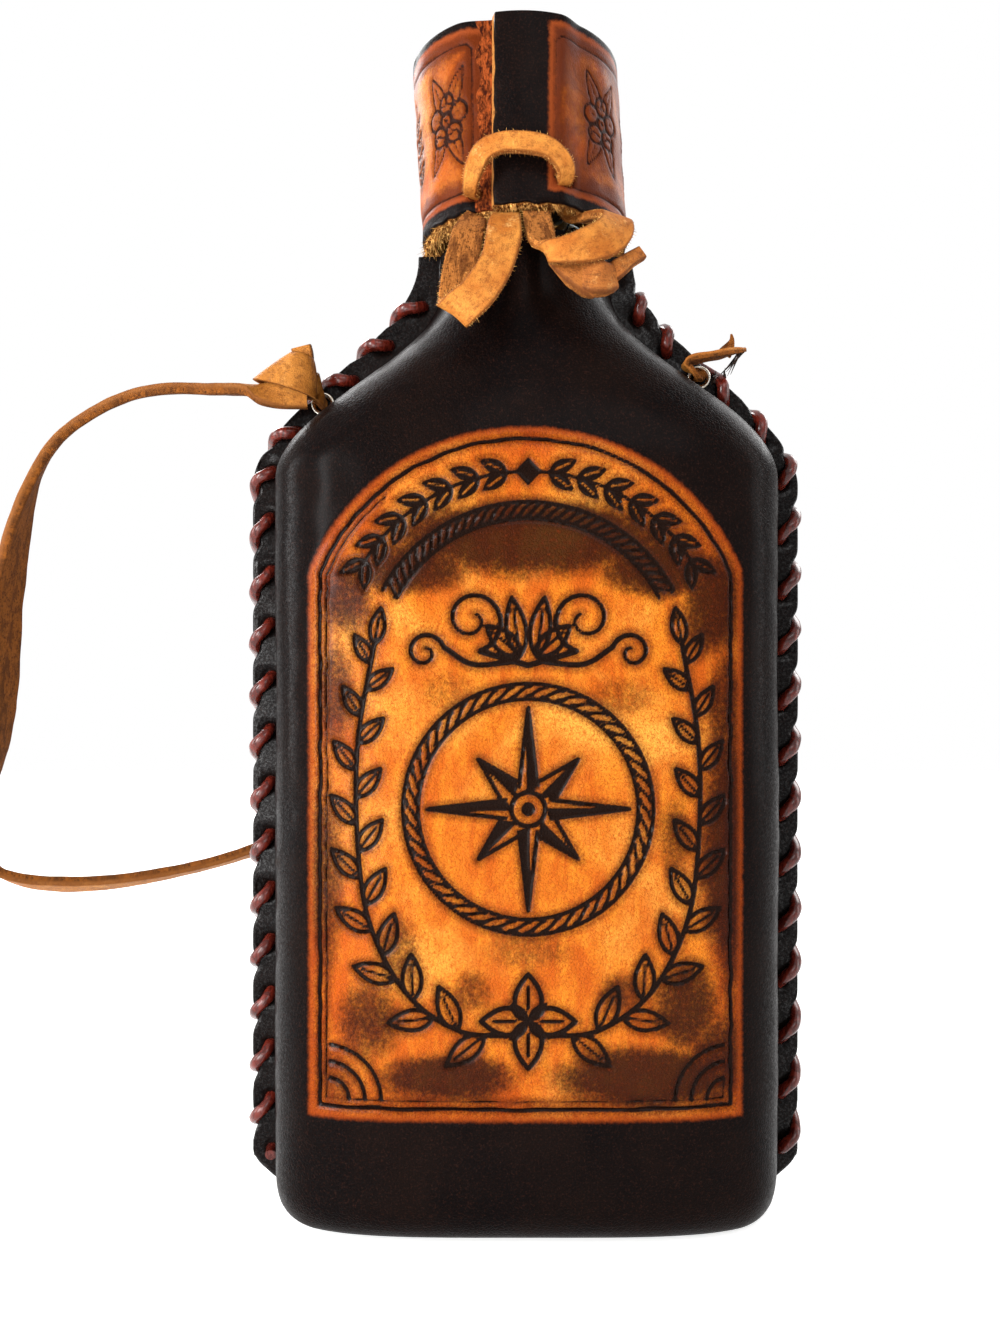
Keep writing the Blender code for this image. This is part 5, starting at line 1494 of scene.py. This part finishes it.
def makeSleeve():
    # The strip as closed loops of its section (outer face up, top, inner face down, bottom), one
    # loop for each angle; the tooling and the tie's two holes are pressed into the outer face.
    end = 360.0 + sleeve["lapEnd"]
    slant = end - sleeve["cutEdge"]
    degrees = np.concatenate([spaced(sleeve["lapStart"], slant, 1.25), spaced(slant, end, 0.3)[1:]])
    inner, outer = sleeveRadii(degrees)
    outer = outer - 0.85 * (outer - inner) * smoothStep(slant, end + 0.5, degrees)
    tall = sleeve["height"]
    levels = spaced(0.5, tall - 0.5, 0.44)
    corner = np.radians([18, 45, 72])
    inset, lift = sleeve["edgeRound"] * (1 - np.cos(corner)), sleeve["edgeRound"] * (1 - np.sin(corner))
    share = np.concatenate([np.ones(len(levels) + 3), [0.6, 0.3], np.zeros(9), [0.3, 0.6], np.ones(3)])
    drop = np.concatenate([np.zeros(len(levels)), inset, np.zeros(13), inset[::-1]])
    inside = np.linspace(tall - 0.3, 0.3, 9)
    height = np.concatenate([levels, tall - lift, [tall, tall], inside, [0.0, 0.0], lift[::-1]])
    radius = inner[:, None] + (outer - inner)[:, None] * share - drop
    still = 0 * radius
    h, angle = height + still, degrees[:, None] + still
    along = degree * (sleeve["inner"] + sleeve["leather"]) * angle
    facing = np.broadcast_to(np.arange(len(height)) < len(levels), radius.shape)
    face = (slice(None), slice(0, len(levels)))
    tool, smudge = np.full(radius.shape, 3.0), np.zeros(radius.shape)
    tool[face], smudge[face] = drawSleeve(along[face], h[face])
    wandering = angle + 2.0 * softNoise(h, still, still, 6.0, 62)
    rawPlace = smoothStep(sleeve["rawEnd"] + 1.0, sleeve["rawEnd"] - 1.0, wandering)
    ragged = 0.25 * softNoise(along, still, still, 2.4, 64) * smoothStep(2.0, 0.0, h)
    wrapped = np.where(angle > 180, angle - 360, angle)
    hole = np.full(radius.shape, 9.0)
    for place, rise in sleeve["holes"].items():
        hole = np.minimum(hole, np.hypot(degree * sleeve["faceRadius"] * (wrapped - place), h - rise))
    pressed = sleeve["depth"] * smoothStep(0.2, -0.3, tool) + smoothStep(1.9, 1.0, hole)
    uneven = 0.12 * softNoise(along, h, still, 9.0, 61)
    torn = 0.22 * rawPlace * softNoise(along, h, still, 1.6, 63)
    radius = radius + np.where(facing, uneven + torn - pressed, 0.0)
    points = onSleeve(degrees[:, None], radius, h + ragged)
    flesh = np.where(facing | (share >= 1.0), 0.0, 1.0)
    cut = slant + 0.6 + 0.9 * softNoise(h, still, still, 3.4, 65)
    flesh = np.maximum(flesh, 0.85 * smoothStep(cut, cut + 0.6, angle))
    flesh[0] = 1.0
    # painted shade from the back round to the right side, over an even light share of mottled ageing
    ageAndRightShade = 0.25 + 0.75 * smoothStep(190.0, 330.0, angle)
    low, high = sleeve["border"]
    middleSpan = np.minimum(h - low, tall - high - h)
    border = np.minimum(middleSpan, degree * sleeve["faceRadius"] * (sleeve["bandStart"] - angle))
    raw = np.maximum(rawPlace, smoothStep(2.0, 1.2, hole))
    values = {"tool": tool, "smudge": smudge, "flesh": flesh, "raw": raw, "border": border, "ageAndRightShade": ageAndRightShade}
    flat, faces = stackTubes(points)
    material = sleeveMaterial()
    makePiece("capSleeveLeather", flat, faces, material, "cap", ["cap_sleeve"], values)


def makeSleeveFluff():
    # fibres that hang from the sleeve's lower edge, more of them and longer where the skived end is
    rng = np.random.default_rng(66)
    stretches = ((-15, 362, 600), (sleeve["lapEnd"], 95, 600), (340, 378, 300))
    where = np.concatenate([rng.uniform(*stretch) for stretch in stretches])
    count = len(where)
    low, high = sleeveRadii(where)
    radius = low + (high - low) * rng.uniform(0.1, 0.75, count)
    roots = onSleeve(where, radius, rng.uniform(-0.1, 0.15, count))
    outward = onSleeve(where, high + 1.0, 0 * where) - onSleeve(where, high, 0 * where)
    ways = outward * rng.uniform(-0.5, 0.7, count)[:, None] + np.array([0, 0, -1.0])
    fluff, n, shader, place = startMaterial("fleshFluff", 0.9, Specular_IOR_Level=0.1)
    twoTones(n, shader, n.between(n.noise(place, 1100.0, 3.0), 0.42, 0.6), (104, 60, 24), (232, 176, 98))
    lengths = rng.uniform(0.3, 0.9, count) * np.where((where > 20) & (where < 95), 2.6, 1.0)
    flat, faces = fibreTufts(roots, ways, lengths, 0.14, 67)
    makePiece("capSleeveFluff", flat, faces, fluff, "cap", ())


makeSleeve()
makeSleeveFluff()
print("sleeve made")

# Tie through the sleeve

tie = {"wide": 5.9, "thick": 1.5, "slim": (2.2, 1.6)}


def tieStations():
    # tucked end, left loop, arch over the lap, right loop with its fold, second tucked end; the two
    # holes of the sleeve are passed at the slim stations
    wide, thin = tie["wide"], tie["thick"]
    slim = tie["slim"]
    right, up, down = (1, 0, 0), (0, 0, 1), (0, 0, -1)
    route = [
        ((-2.8, -15.4, 182.6), right, 4.4, thin),
        ((-3.2, -15.6, 179.6), right, 4.8, thin),
        ((-3.7, -18.4, 178.2), right, 5.2, thin),
        ((-4.0, -22.0, 175.6), right, 5.6, thin),
        ((-4.3, -24.4, 171.6), (0.98, 0, -0.1), wide, thin),
        ((-5.6, -26.0, 166.8), (0.9, 0, -0.35), wide, thin),
        ((-8.4, -26.8, 162.2), (0.8, 0, -0.55), wide, thin),
        ((-11.0, -26.4, 160.0), (0.82, 0, -0.57), wide, thin),
        ((-12.3, -25.0, 159.6), (0.82, 0, -0.57), wide, thin),
        ((-12.3, -23.4, 161.2), (0.84, 0, -0.5), wide, thin),
        ((-11.9, -22.6, 165.4), (0.9, 0, -0.35), wide, thin),
        ((-11.0, -21.9, 170.3), (0.97, 0, -0.2), wide, thin),
        ((-10.3, -20.4, 174.4), right, 5.6, thin),
        ((-9.5, -17.2, 177.8), right, 4.6, thin),
        ((-8.9, -14.4, 180.2), (0.6, 0.8, 0), 3.0, thin),
        ((-8.6, -13.6, 182.0), (-0.4, 0.9, 0), *slim),
        ((-9.2, -15.6, 183.4), (-0.9, 0.3, 0.1), *slim),
        ((-9.9, -17.6, 183.0), (-0.95, 0, 0.1), *slim),
        ((-9.9, -19.8, 183.0), (-0.95, 0, 0.15), 2.6, thin),
        ((-9.3, -21.4, 185.0), (-0.85, 0, 0.4), 3.2, thin),
        ((-7.6, -22.5, 187.6), (-0.6, 0, 0.8), 3.6, thin),
        ((-4.6, -23.2, 188.7), (-0.1, 0, 1), 3.6, thin),
        ((-1.0, -23.4, 188.7), up, 3.5, thin),
        ((2.6, -23.2, 188.2), (0.15, 0, 1), 3.4, thin),
        ((5.0, -22.6, 186.9), (0.55, 0, 0.8), 3.2, thin),
        ((6.4, -21.6, 185.2), (0.8, 0, 0.55), 3.0, thin),
        ((6.4, -20.2, 184.0), (0.9, 0, 0.2), 2.6, thin),
        ((6.0, -18.4, 184.3), (0.95, 0, 0.1), *slim),
        ((5.9, -15.6, 184.6), (0.9, 0.3, 0), *slim),
        ((6.6, -13.4, 182.4), (0.95, 0.3, 0), 3.2, thin),
        ((9.6, -13.2, 180.2), (0.95, 0.3, 0), 4.4, thin),
        ((13.4, -17.2, 178.6), (0.95, 0.1, -0.2), 5.0, thin),
        ((15.0, -21.4, 176.6), (0.9, 0, -0.35), 5.5, thin),
        ((14.6, -24.0, 173.8), (0.7, 0, -0.65), 6.0, thin),
        ((12.6, -25.8, 171.4), (0.4, 0, -0.9), 6.2, thin),
        ((9.8, -26.8, 170.0), (0.15, 0, -1), 6.0, thin),
        ((6.8, -27.0, 169.2), down, 5.0, thin),
        ((4.4, -26.4, 169.2), (0.25, 0, -1), 4.2, thin),
        ((3.0, -25.0, 170.0), (0.7, 0, -0.7), 3.8, thin),
        ((2.3, -23.6, 172.2), (0.9, 0, -0.3), 4.6, thin),
        ((1.8, -21.6, 175.2), right, 4.8, thin),
        ((1.5, -18.6, 178.4), right, 4.6, thin),
        ((1.4, -15.6, 180.4), right, 4.4, thin),
        ((1.4, -15.4, 183.0), right, 4.2, thin),
    ]
    return [(*place, *way, width, thick) for place, way, width, thick in route]


def makeTie():
    # the band with its fluff along the cut edges, then the knot's two lumps and its tail
    light = ((176, 100, 34), (210, 138, 60), (122, 64, 22), (232, 178, 106))
    darker = ((150, 84, 34), (176, 106, 46), (96, 50, 22), (206, 146, 82))
    pale = ((190, 118, 54), (84, 42, 16))
    material = stripMaterial("lightTieLeather", light, pale, 0.7)
    points, faces, uv, values, _ = leatherStrip(tieStations(), 7, 21, 1.0)
    makePiece("capTieBand", points, faces, material, "cap", ["cap_thong"], values, uv)
    edge = values["cutEdge"]
    rings = points[: edge.size].reshape(*edge.shape, 3)
    rng = np.random.default_rng(68)
    chosen = rng.permutation(np.argwhere(edge > 0.7))[:1500]
    roots = rings[chosen[:, 0], chosen[:, 1]]
    ways = roots - rings[chosen[:, 0]].mean(axis=1)
    ways /= np.linalg.norm(ways, axis=1)[:, None]
    flat, faces = fibreTufts(roots, ways, rng.uniform(0.12, 0.4, len(roots)), 0.06, 69)
    makePiece("capTieFluff", flat, faces, bpy.data.materials["fleshFluff"], "cap", ())
    knotMaterial = stripMaterial("darkTieLeather", darker, pale, 0.7)
    lumps = {
        "capTieKnotLeft": [
            (4.6, -22.4, 169.8, 0.8, 0.0, 0.6, 3.4, 1.6),
            (6.6, -23.8, 168.2, 0.7, 0.0, 0.7, 5.2, 2.2),
            (9.0, -24.4, 165.8, 0.7, 0.1, 0.7, 5.6, 2.8),
            (10.6, -24.0, 163.6, 0.7, 0.2, 0.6, 3.8, 2.4),
            (11.3, -23.6, 162.6, 0.7, 0.2, 0.6, 1.4, 1.0),
        ],
        "capTieKnotRight": [
            (8.0, -22.6, 166.8, 0.2, 0.0, 1.0, 3.6, 2.4),
            (9.6, -24.4, 165.8, 0.1, 0.0, 1.0, 5.4, 3.0),
            (12.0, -24.6, 165.2, -0.1, 0.0, 1.0, 5.6, 3.2),
            (14.2, -23.6, 165.6, -0.3, 0.0, 1.0, 4.4, 2.4),
        ],
        "capTieTail": [
            (12.8, -23.4, 165.6, -0.5, 0.2, 0.9, 3.0, 1.6),
            (14.8, -23.8, 167.0, -0.6, 0.1, 0.8, 3.0, 1.6),
            (17.0, -23.2, 168.8, -0.6, 0.1, 0.8, 2.6, 1.6),
            (19.2, -22.2, 170.4, -0.6, 0.0, 0.8, 2.3, 1.5),
        ],
    }
    for seed, (name, stations) in enumerate(lumps.items()):
        makeStrip(name, stations, 7, 30 + seed, knotMaterial, "cap", "light_leather")


makeTie()
print("tie made")

# Turned pieces: bottle, cap, wad, leather round and eyelets


def turnRings(profile, around, swell=None):
    # each (radius, height) of the profile as a ring of points; swell adds to the radius by ring and angle
    turn = np.arange(around) * math.tau / around
    radius = profile[:, :1] + (0.0 if swell is None else swell)
    height = profile[:, 1:] + 0.0 * turn
    return np.stack(np.broadcast_arrays(radius * np.cos(turn), radius * np.sin(turn), height), axis=-1)


def wrapTubes(rings):
    # rings joined round both ways, for a closed profile that never meets the axis
    count, size = rings.shape[:2]
    faces = tubeFaces(count + 1, size) % (count * size)
    return rings.reshape(-1, 3), faces.tolist()


def roundedProfile(corners, steps=4):
    # corners are (radius, height, rounding): each is cut by its rounding and bridged by a quadratic curve
    points = np.array(corners, float)
    out = [points[0, :2]]
    for before, here, after in zip(points, points[1:], points[2:]):
        a, b = before[:2] - here[:2], after[:2] - here[:2]
        cut = here[2]
        start = here[:2] + a / np.linalg.norm(a) * min(cut, 0.45 * np.linalg.norm(a))
        stop = here[:2] + b / np.linalg.norm(b) * min(cut, 0.45 * np.linalg.norm(b))
        if cut <= 0:
            out.append(here[:2])
            continue
        for t in np.linspace(0.0, 1.0, steps):
            out.append((1 - t) ** 2 * start + 2 * t * (1 - t) * here[:2] + t * t * stop)
    out.append(points[-1, :2])
    return np.array(out)


bottle = {
    "halfWidth": 43.1,
    "halfDepth": 20.1,
    "neck": 13.1,
    "wall": 3.0,
    "bottom": 2.7,
    "base": 5.0,
    "baseRound": 8.0,
    "bore": 9.3,
    "bead": 14.0,
    "beadLow": 183.5,
    "beadHigh": 186.5,
    "root": 12.3,
    "mouth": 206.3,
    "thread": 0.95,
    "pitch": 3.2,
    "turns": 1.6,
}


def bottleRings(levels, wall, floor, floorRound, around=96):
    # superellipse sections of the body, drawn in towards the floor on a quarter circle
    share = shoulderShare(levels)
    lift = np.clip(levels - floor, 0.0, floorRound)
    pull = floorRound - np.sqrt(floorRound**2 - (floorRound - lift) ** 2)
    wide = (bottle["neck"] + (bottle["halfWidth"] - bottle["neck"]) * share - wall - pull)[:, None]
    deep = (bottle["neck"] + (bottle["halfDepth"] - bottle["neck"]) * share - wall - pull)[:, None]
    power = (2.0 / (2.0 + 2.0 * share))[:, None]
    turn = np.arange(around) * math.tau / around
    x = wide * np.sign(np.cos(turn)) * np.abs(np.cos(turn)) ** power
    y = deep * np.sign(np.sin(turn)) * np.abs(np.sin(turn)) ** power
    return np.stack(np.broadcast_arrays(x, y, levels[:, None]), axis=-1)


def makeBottle():
    # body, shoulder and neck outside, the finish with its thread, and the inside down to the floor
    neck, bead, root, bore, mouth = (bottle[key] for key in ("neck", "bead", "root", "bore", "mouth"))
    low, high, top, bodyTop = bottle["beadLow"], bottle["beadHigh"], cover["top"], cover["bodyTop"]
    foot = bottle["bottom"] + bottle["baseRound"] * (1 - np.cos(np.linspace(0, 0.5 * math.pi, 10)))
    body = np.concatenate([foot, spaced(foot[-1], bodyTop, 12.0)[1:], spaced(bodyTop, top, 2.4)[1:]])
    outside = bottleRings(body, 0.0, bottle["bottom"], bottle["baseRound"])
    finish = roundedProfile([
        (neck, top + 0.5, 0), (neck, low - 1, 0.8), (bead, low, 0.6),
        (bead, high - 0.5, 0.6), (root, high, 0.3), (root, high + 1.0, 0),
    ])
    levels = spaced(high + 1.2, mouth - 1.0, 0.35)
    lip = roundedProfile([
        (root, mouth - 0.9, 0), (root, mouth, 0.8), (bore, mouth, 0.7), (bore, mouth - 4.0, 0),
    ])
    turn = np.arange(96) * math.tau / 96
    climb = (levels[:, None] - mouth + 3.0) / bottle["pitch"] + turn / math.tau
    onThread = np.abs(climb - np.round(climb)) * bottle["pitch"]
    turned = turn / math.tau - np.round(climb)
    runs = smoothStep(-0.2, 0.2, turned) * smoothStep(bottle["turns"] + 0.4, bottle["turns"], turned)
    ridge = bottle["thread"] * smoothStep(1.0, 0.35, onThread) * runs
    threaded = turnRings(np.stack([np.full(len(levels), root), levels], axis=1), 96, ridge)
    boreLevels = spaced(mouth - 6.0, top + 1.0, 5.0)
    boreRings = turnRings(np.stack([np.full(len(boreLevels), bore), boreLevels], axis=1), 96)
    floor = bottle["bottom"] + bottle["base"]
    innerRound = bottle["baseRound"] - bottle["wall"]
    innerFoot = floor + innerRound * (1 - np.cos(np.linspace(0, 0.5 * math.pi, 8)))
    straight = spaced(bodyTop, innerFoot[-1], 12.0)[1:-1]
    inner = np.concatenate([spaced(top - 3.0, bodyTop, 2.4), straight, innerFoot[::-1]])
    inside = bottleRings(inner, bottle["wall"], floor, innerRound)
    rings = np.concatenate([outside, turnRings(finish, 96), threaded, turnRings(lip, 96), boreRings, inside])
    points, faces = stackTubes(rings)
    material, n, shader, where = startMaterial("clearGlass", 0.03, IOR=1.5)
    shader.inputs["Transmission Weight"].default_value = 1.0
    twoTones(n, shader, n.between(n.noise(where, 30.0), 0.4, 0.6), (244, 250, 246), (236, 246, 240))
    bumpOnto(n, shader, n.noise(where, 90.0, 2.0), 0.08, 0.2)
    makePiece("glassBottleMoulded", points, faces, material, "flask", ["glass_bottle"])


screwCap = {
    "low": 189.3,
    "top": 209.7,
    "roof": 208.1,
    "inner": 13.4,
    "outer": 14.6,
    "groove": 4.4,           # height of the groove above the lower edge
    "ribs": 60,
}


def filledIn(profile, step):
    # a profile with points put in on its straight parts, about a step apart
    rows = [profile[:1]]
    for before, here in zip(profile, profile[1:]):
        count = max(2, int(np.hypot(*(here - before)) / step) + 1)
        rows.append(np.linspace(before, here, count)[1:])
    return np.concatenate(rows)


def makeCap():
    # a plain cup with fine ribs above a grooved band, under a flat top
    low, top, roof, inner, outer = (screwCap[key] for key in ("low", "top", "roof", "inner", "outer"))
    groove = low + screwCap["groove"]
    corners = [
        (0.05, top, 0), (outer, top, 1.2), (outer, groove + 0.2, 0), (outer, groove - 0.2, 0),
        (outer, low, 0.35), (inner, low, 0.3), (inner, roof, 0.4), (0.05, roof, 0),
    ]
    profile = filledIn(roundedProfile(corners, 5), 1.1)
    around = 180
    turn = np.arange(around) * math.tau / around
    radius, height = profile[:, :1], profile[:, 1:]
    outside = smoothStep(outer - 0.25, outer - 0.05, radius)
    outside = outside * smoothStep(groove, groove + 0.5, height) * smoothStep(top - 1.0, top - 1.6, height)
    ribs = 0.22 * outside * (0.5 + 0.5 * np.cos(screwCap["ribs"] * turn))
    cut = 0.3 * smoothStep(outer - 0.4, outer - 0.1, radius) * np.exp(-(((height - groove) / 0.25) ** 2))
    points, faces = stackTubes(turnRings(profile, around, -ribs - cut))
    material, n, shader, where = startMaterial("blackCapPlastic", 0.35, Specular_IOR_Level=0.5)
    twoTones(n, shader, n.between(n.noise(where, 120.0, 3.0), 0.4, 0.6), (22, 22, 23), (32, 31, 31))
    bumpOnto(n, shader, n.noise(where, 2600.0, 3.0), 0.12, 0.03)
    makePiece("screwCapMoulded", points, faces, material, "cap", ["screw_cap"])


def makeWad():
    # foam disc with the mouth's ring pressed into its underside
    high, low, radius = 207.8, 206.6, 13.1
    profile = roundedProfile([
        (0.05, high, 0), (radius, high, 0.3), (radius, low, 0.3), (12.2, low, 0.2),
        (10.8, low + 0.18, 0.5), (9.4, low, 0.2), (0.05, low, 0),
    ])
    points, faces = stackTubes(turnRings(profile, 96))
    material, n, shader, where = startMaterial("foamWad", 0.7, Specular_IOR_Level=0.3)
    cells = n.add("ShaderNodeTexVoronoi", {"Vector": where, "Scale": 3200.0}).outputs["Distance"]
    twoTones(n, shader, n.between(cells, 0.1, 0.5), (212, 210, 200), (236, 234, 226))
    bumpOnto(n, shader, cells, 0.3, 0.05)
    makePiece("capWad", points, faces, material, "liner", ["cap_liner"])


def makeTopRound():
    # leather round on the cap: a rope border and an eight-pointed star pressed into its face
    low, high = 210.0, 212.4
    radius = sleeve["inner"] - 0.3 - sleeve["lean"] * (high - low)
    shift = -sleeve["lean"] * (0.5 * (low + high) - sleeve["bottom"])
    across = spaced(0.06, radius - 0.8, 0.32)
    corners = [(radius - 0.7, high, 0), (radius, high, 0.8), (radius, low, 0.3), (radius - 0.6, low, 0)]
    top = np.stack([across, np.full(len(across), high)], axis=1)
    profile = np.concatenate([top, roundedProfile(corners, 5), [(0.06, low)]])
    rings = turnRings(profile, 200)
    rings[..., 0] += shift
    px, pz = rings[..., 0] - shift, rings[..., 1]
    tool = Tooling(px[: len(across)], pz[: len(across)])
    centre = np.array([0.0, 0.0])
    ropeRing(tool, centre, 12.6, 1.2, 36)
    compassRose(tool, centre, 10.2, 7.0)
    field = np.full(px.shape, 3.0)
    field[: len(across)] = tool.field
    rings[..., 2] -= 0.3 * smoothStep(0.2, -0.3, field)
    rings[..., 2] += 0.1 * softNoise(px, pz, 0 * px, 9.0, 71) * (rings[..., 2] > high - 0.5)
    flesh = np.zeros(px.shape)
    flesh[-3:] = 1.0
    points, faces = stackTubes(rings)
    nowhere = np.full(px.shape, -9.0)
    values = {"tool": field, "panelIn": nowhere, "smudge": 0 * px, "burnish": 0 * px, "flesh": flesh}
    material = coverMaterial("topRoundLeather", True)
    makePiece("capTopRound", points, faces, material, "cap", ["cap_top_disc"], values)


def makeEyelets():
    # a barrel with a rolled rim on each face of the flange, its profile a closed loop
    material, n, shader, where = startMaterial("nickelEyelet", 0.24, Metallic=1.0)
    tarnish = n.between(n.noise(where, 900.0, 4.0, 0.7), 0.4, 0.7)
    twoTones(n, shader, tarnish, (206, 200, 190), (150, 138, 118))
    n.put(shader.inputs["Roughness"], n.linear(tarnish, 0.2, 0.2))
    bumpOnto(n, shader, n.noise(where, 3000.0), 0.1, 0.02)
    bore, wall, rim, level, thick = 1.4, 0.4, 2.2, 3.1, 0.5
    roll = np.radians(np.linspace(-90, 90, 7))
    front = [(rim - 0.25 + 0.25 * math.cos(a), level + 0.5 * thick + 0.25 * math.sin(a)) for a in roll]
    lip = [(bore + 0.5, level + thick), (bore + 0.15, level + thick - 0.1), (bore, level + 0.1)]
    half = [(bore + wall, level), *front, *lip]
    profile = np.array(half + [(r, -h) for r, h in half[::-1]])
    for side in sides:
        x, z = eyeletPlace(side)
        rings = turnRings(profile, 48)
        rings = np.stack([rings[..., 0] + x, -rings[..., 2], rings[..., 1] + z], axis=-1)
        points, faces = wrapTubes(rings)
        makePiece(side + "EyeletRolled", points, faces, material, "flask", [side + "_eyelet"])


makeBottle()
makeCap()
makeWad()
makeTopRound()
makeEyelets()
print("bottle, cap and eyelets made")
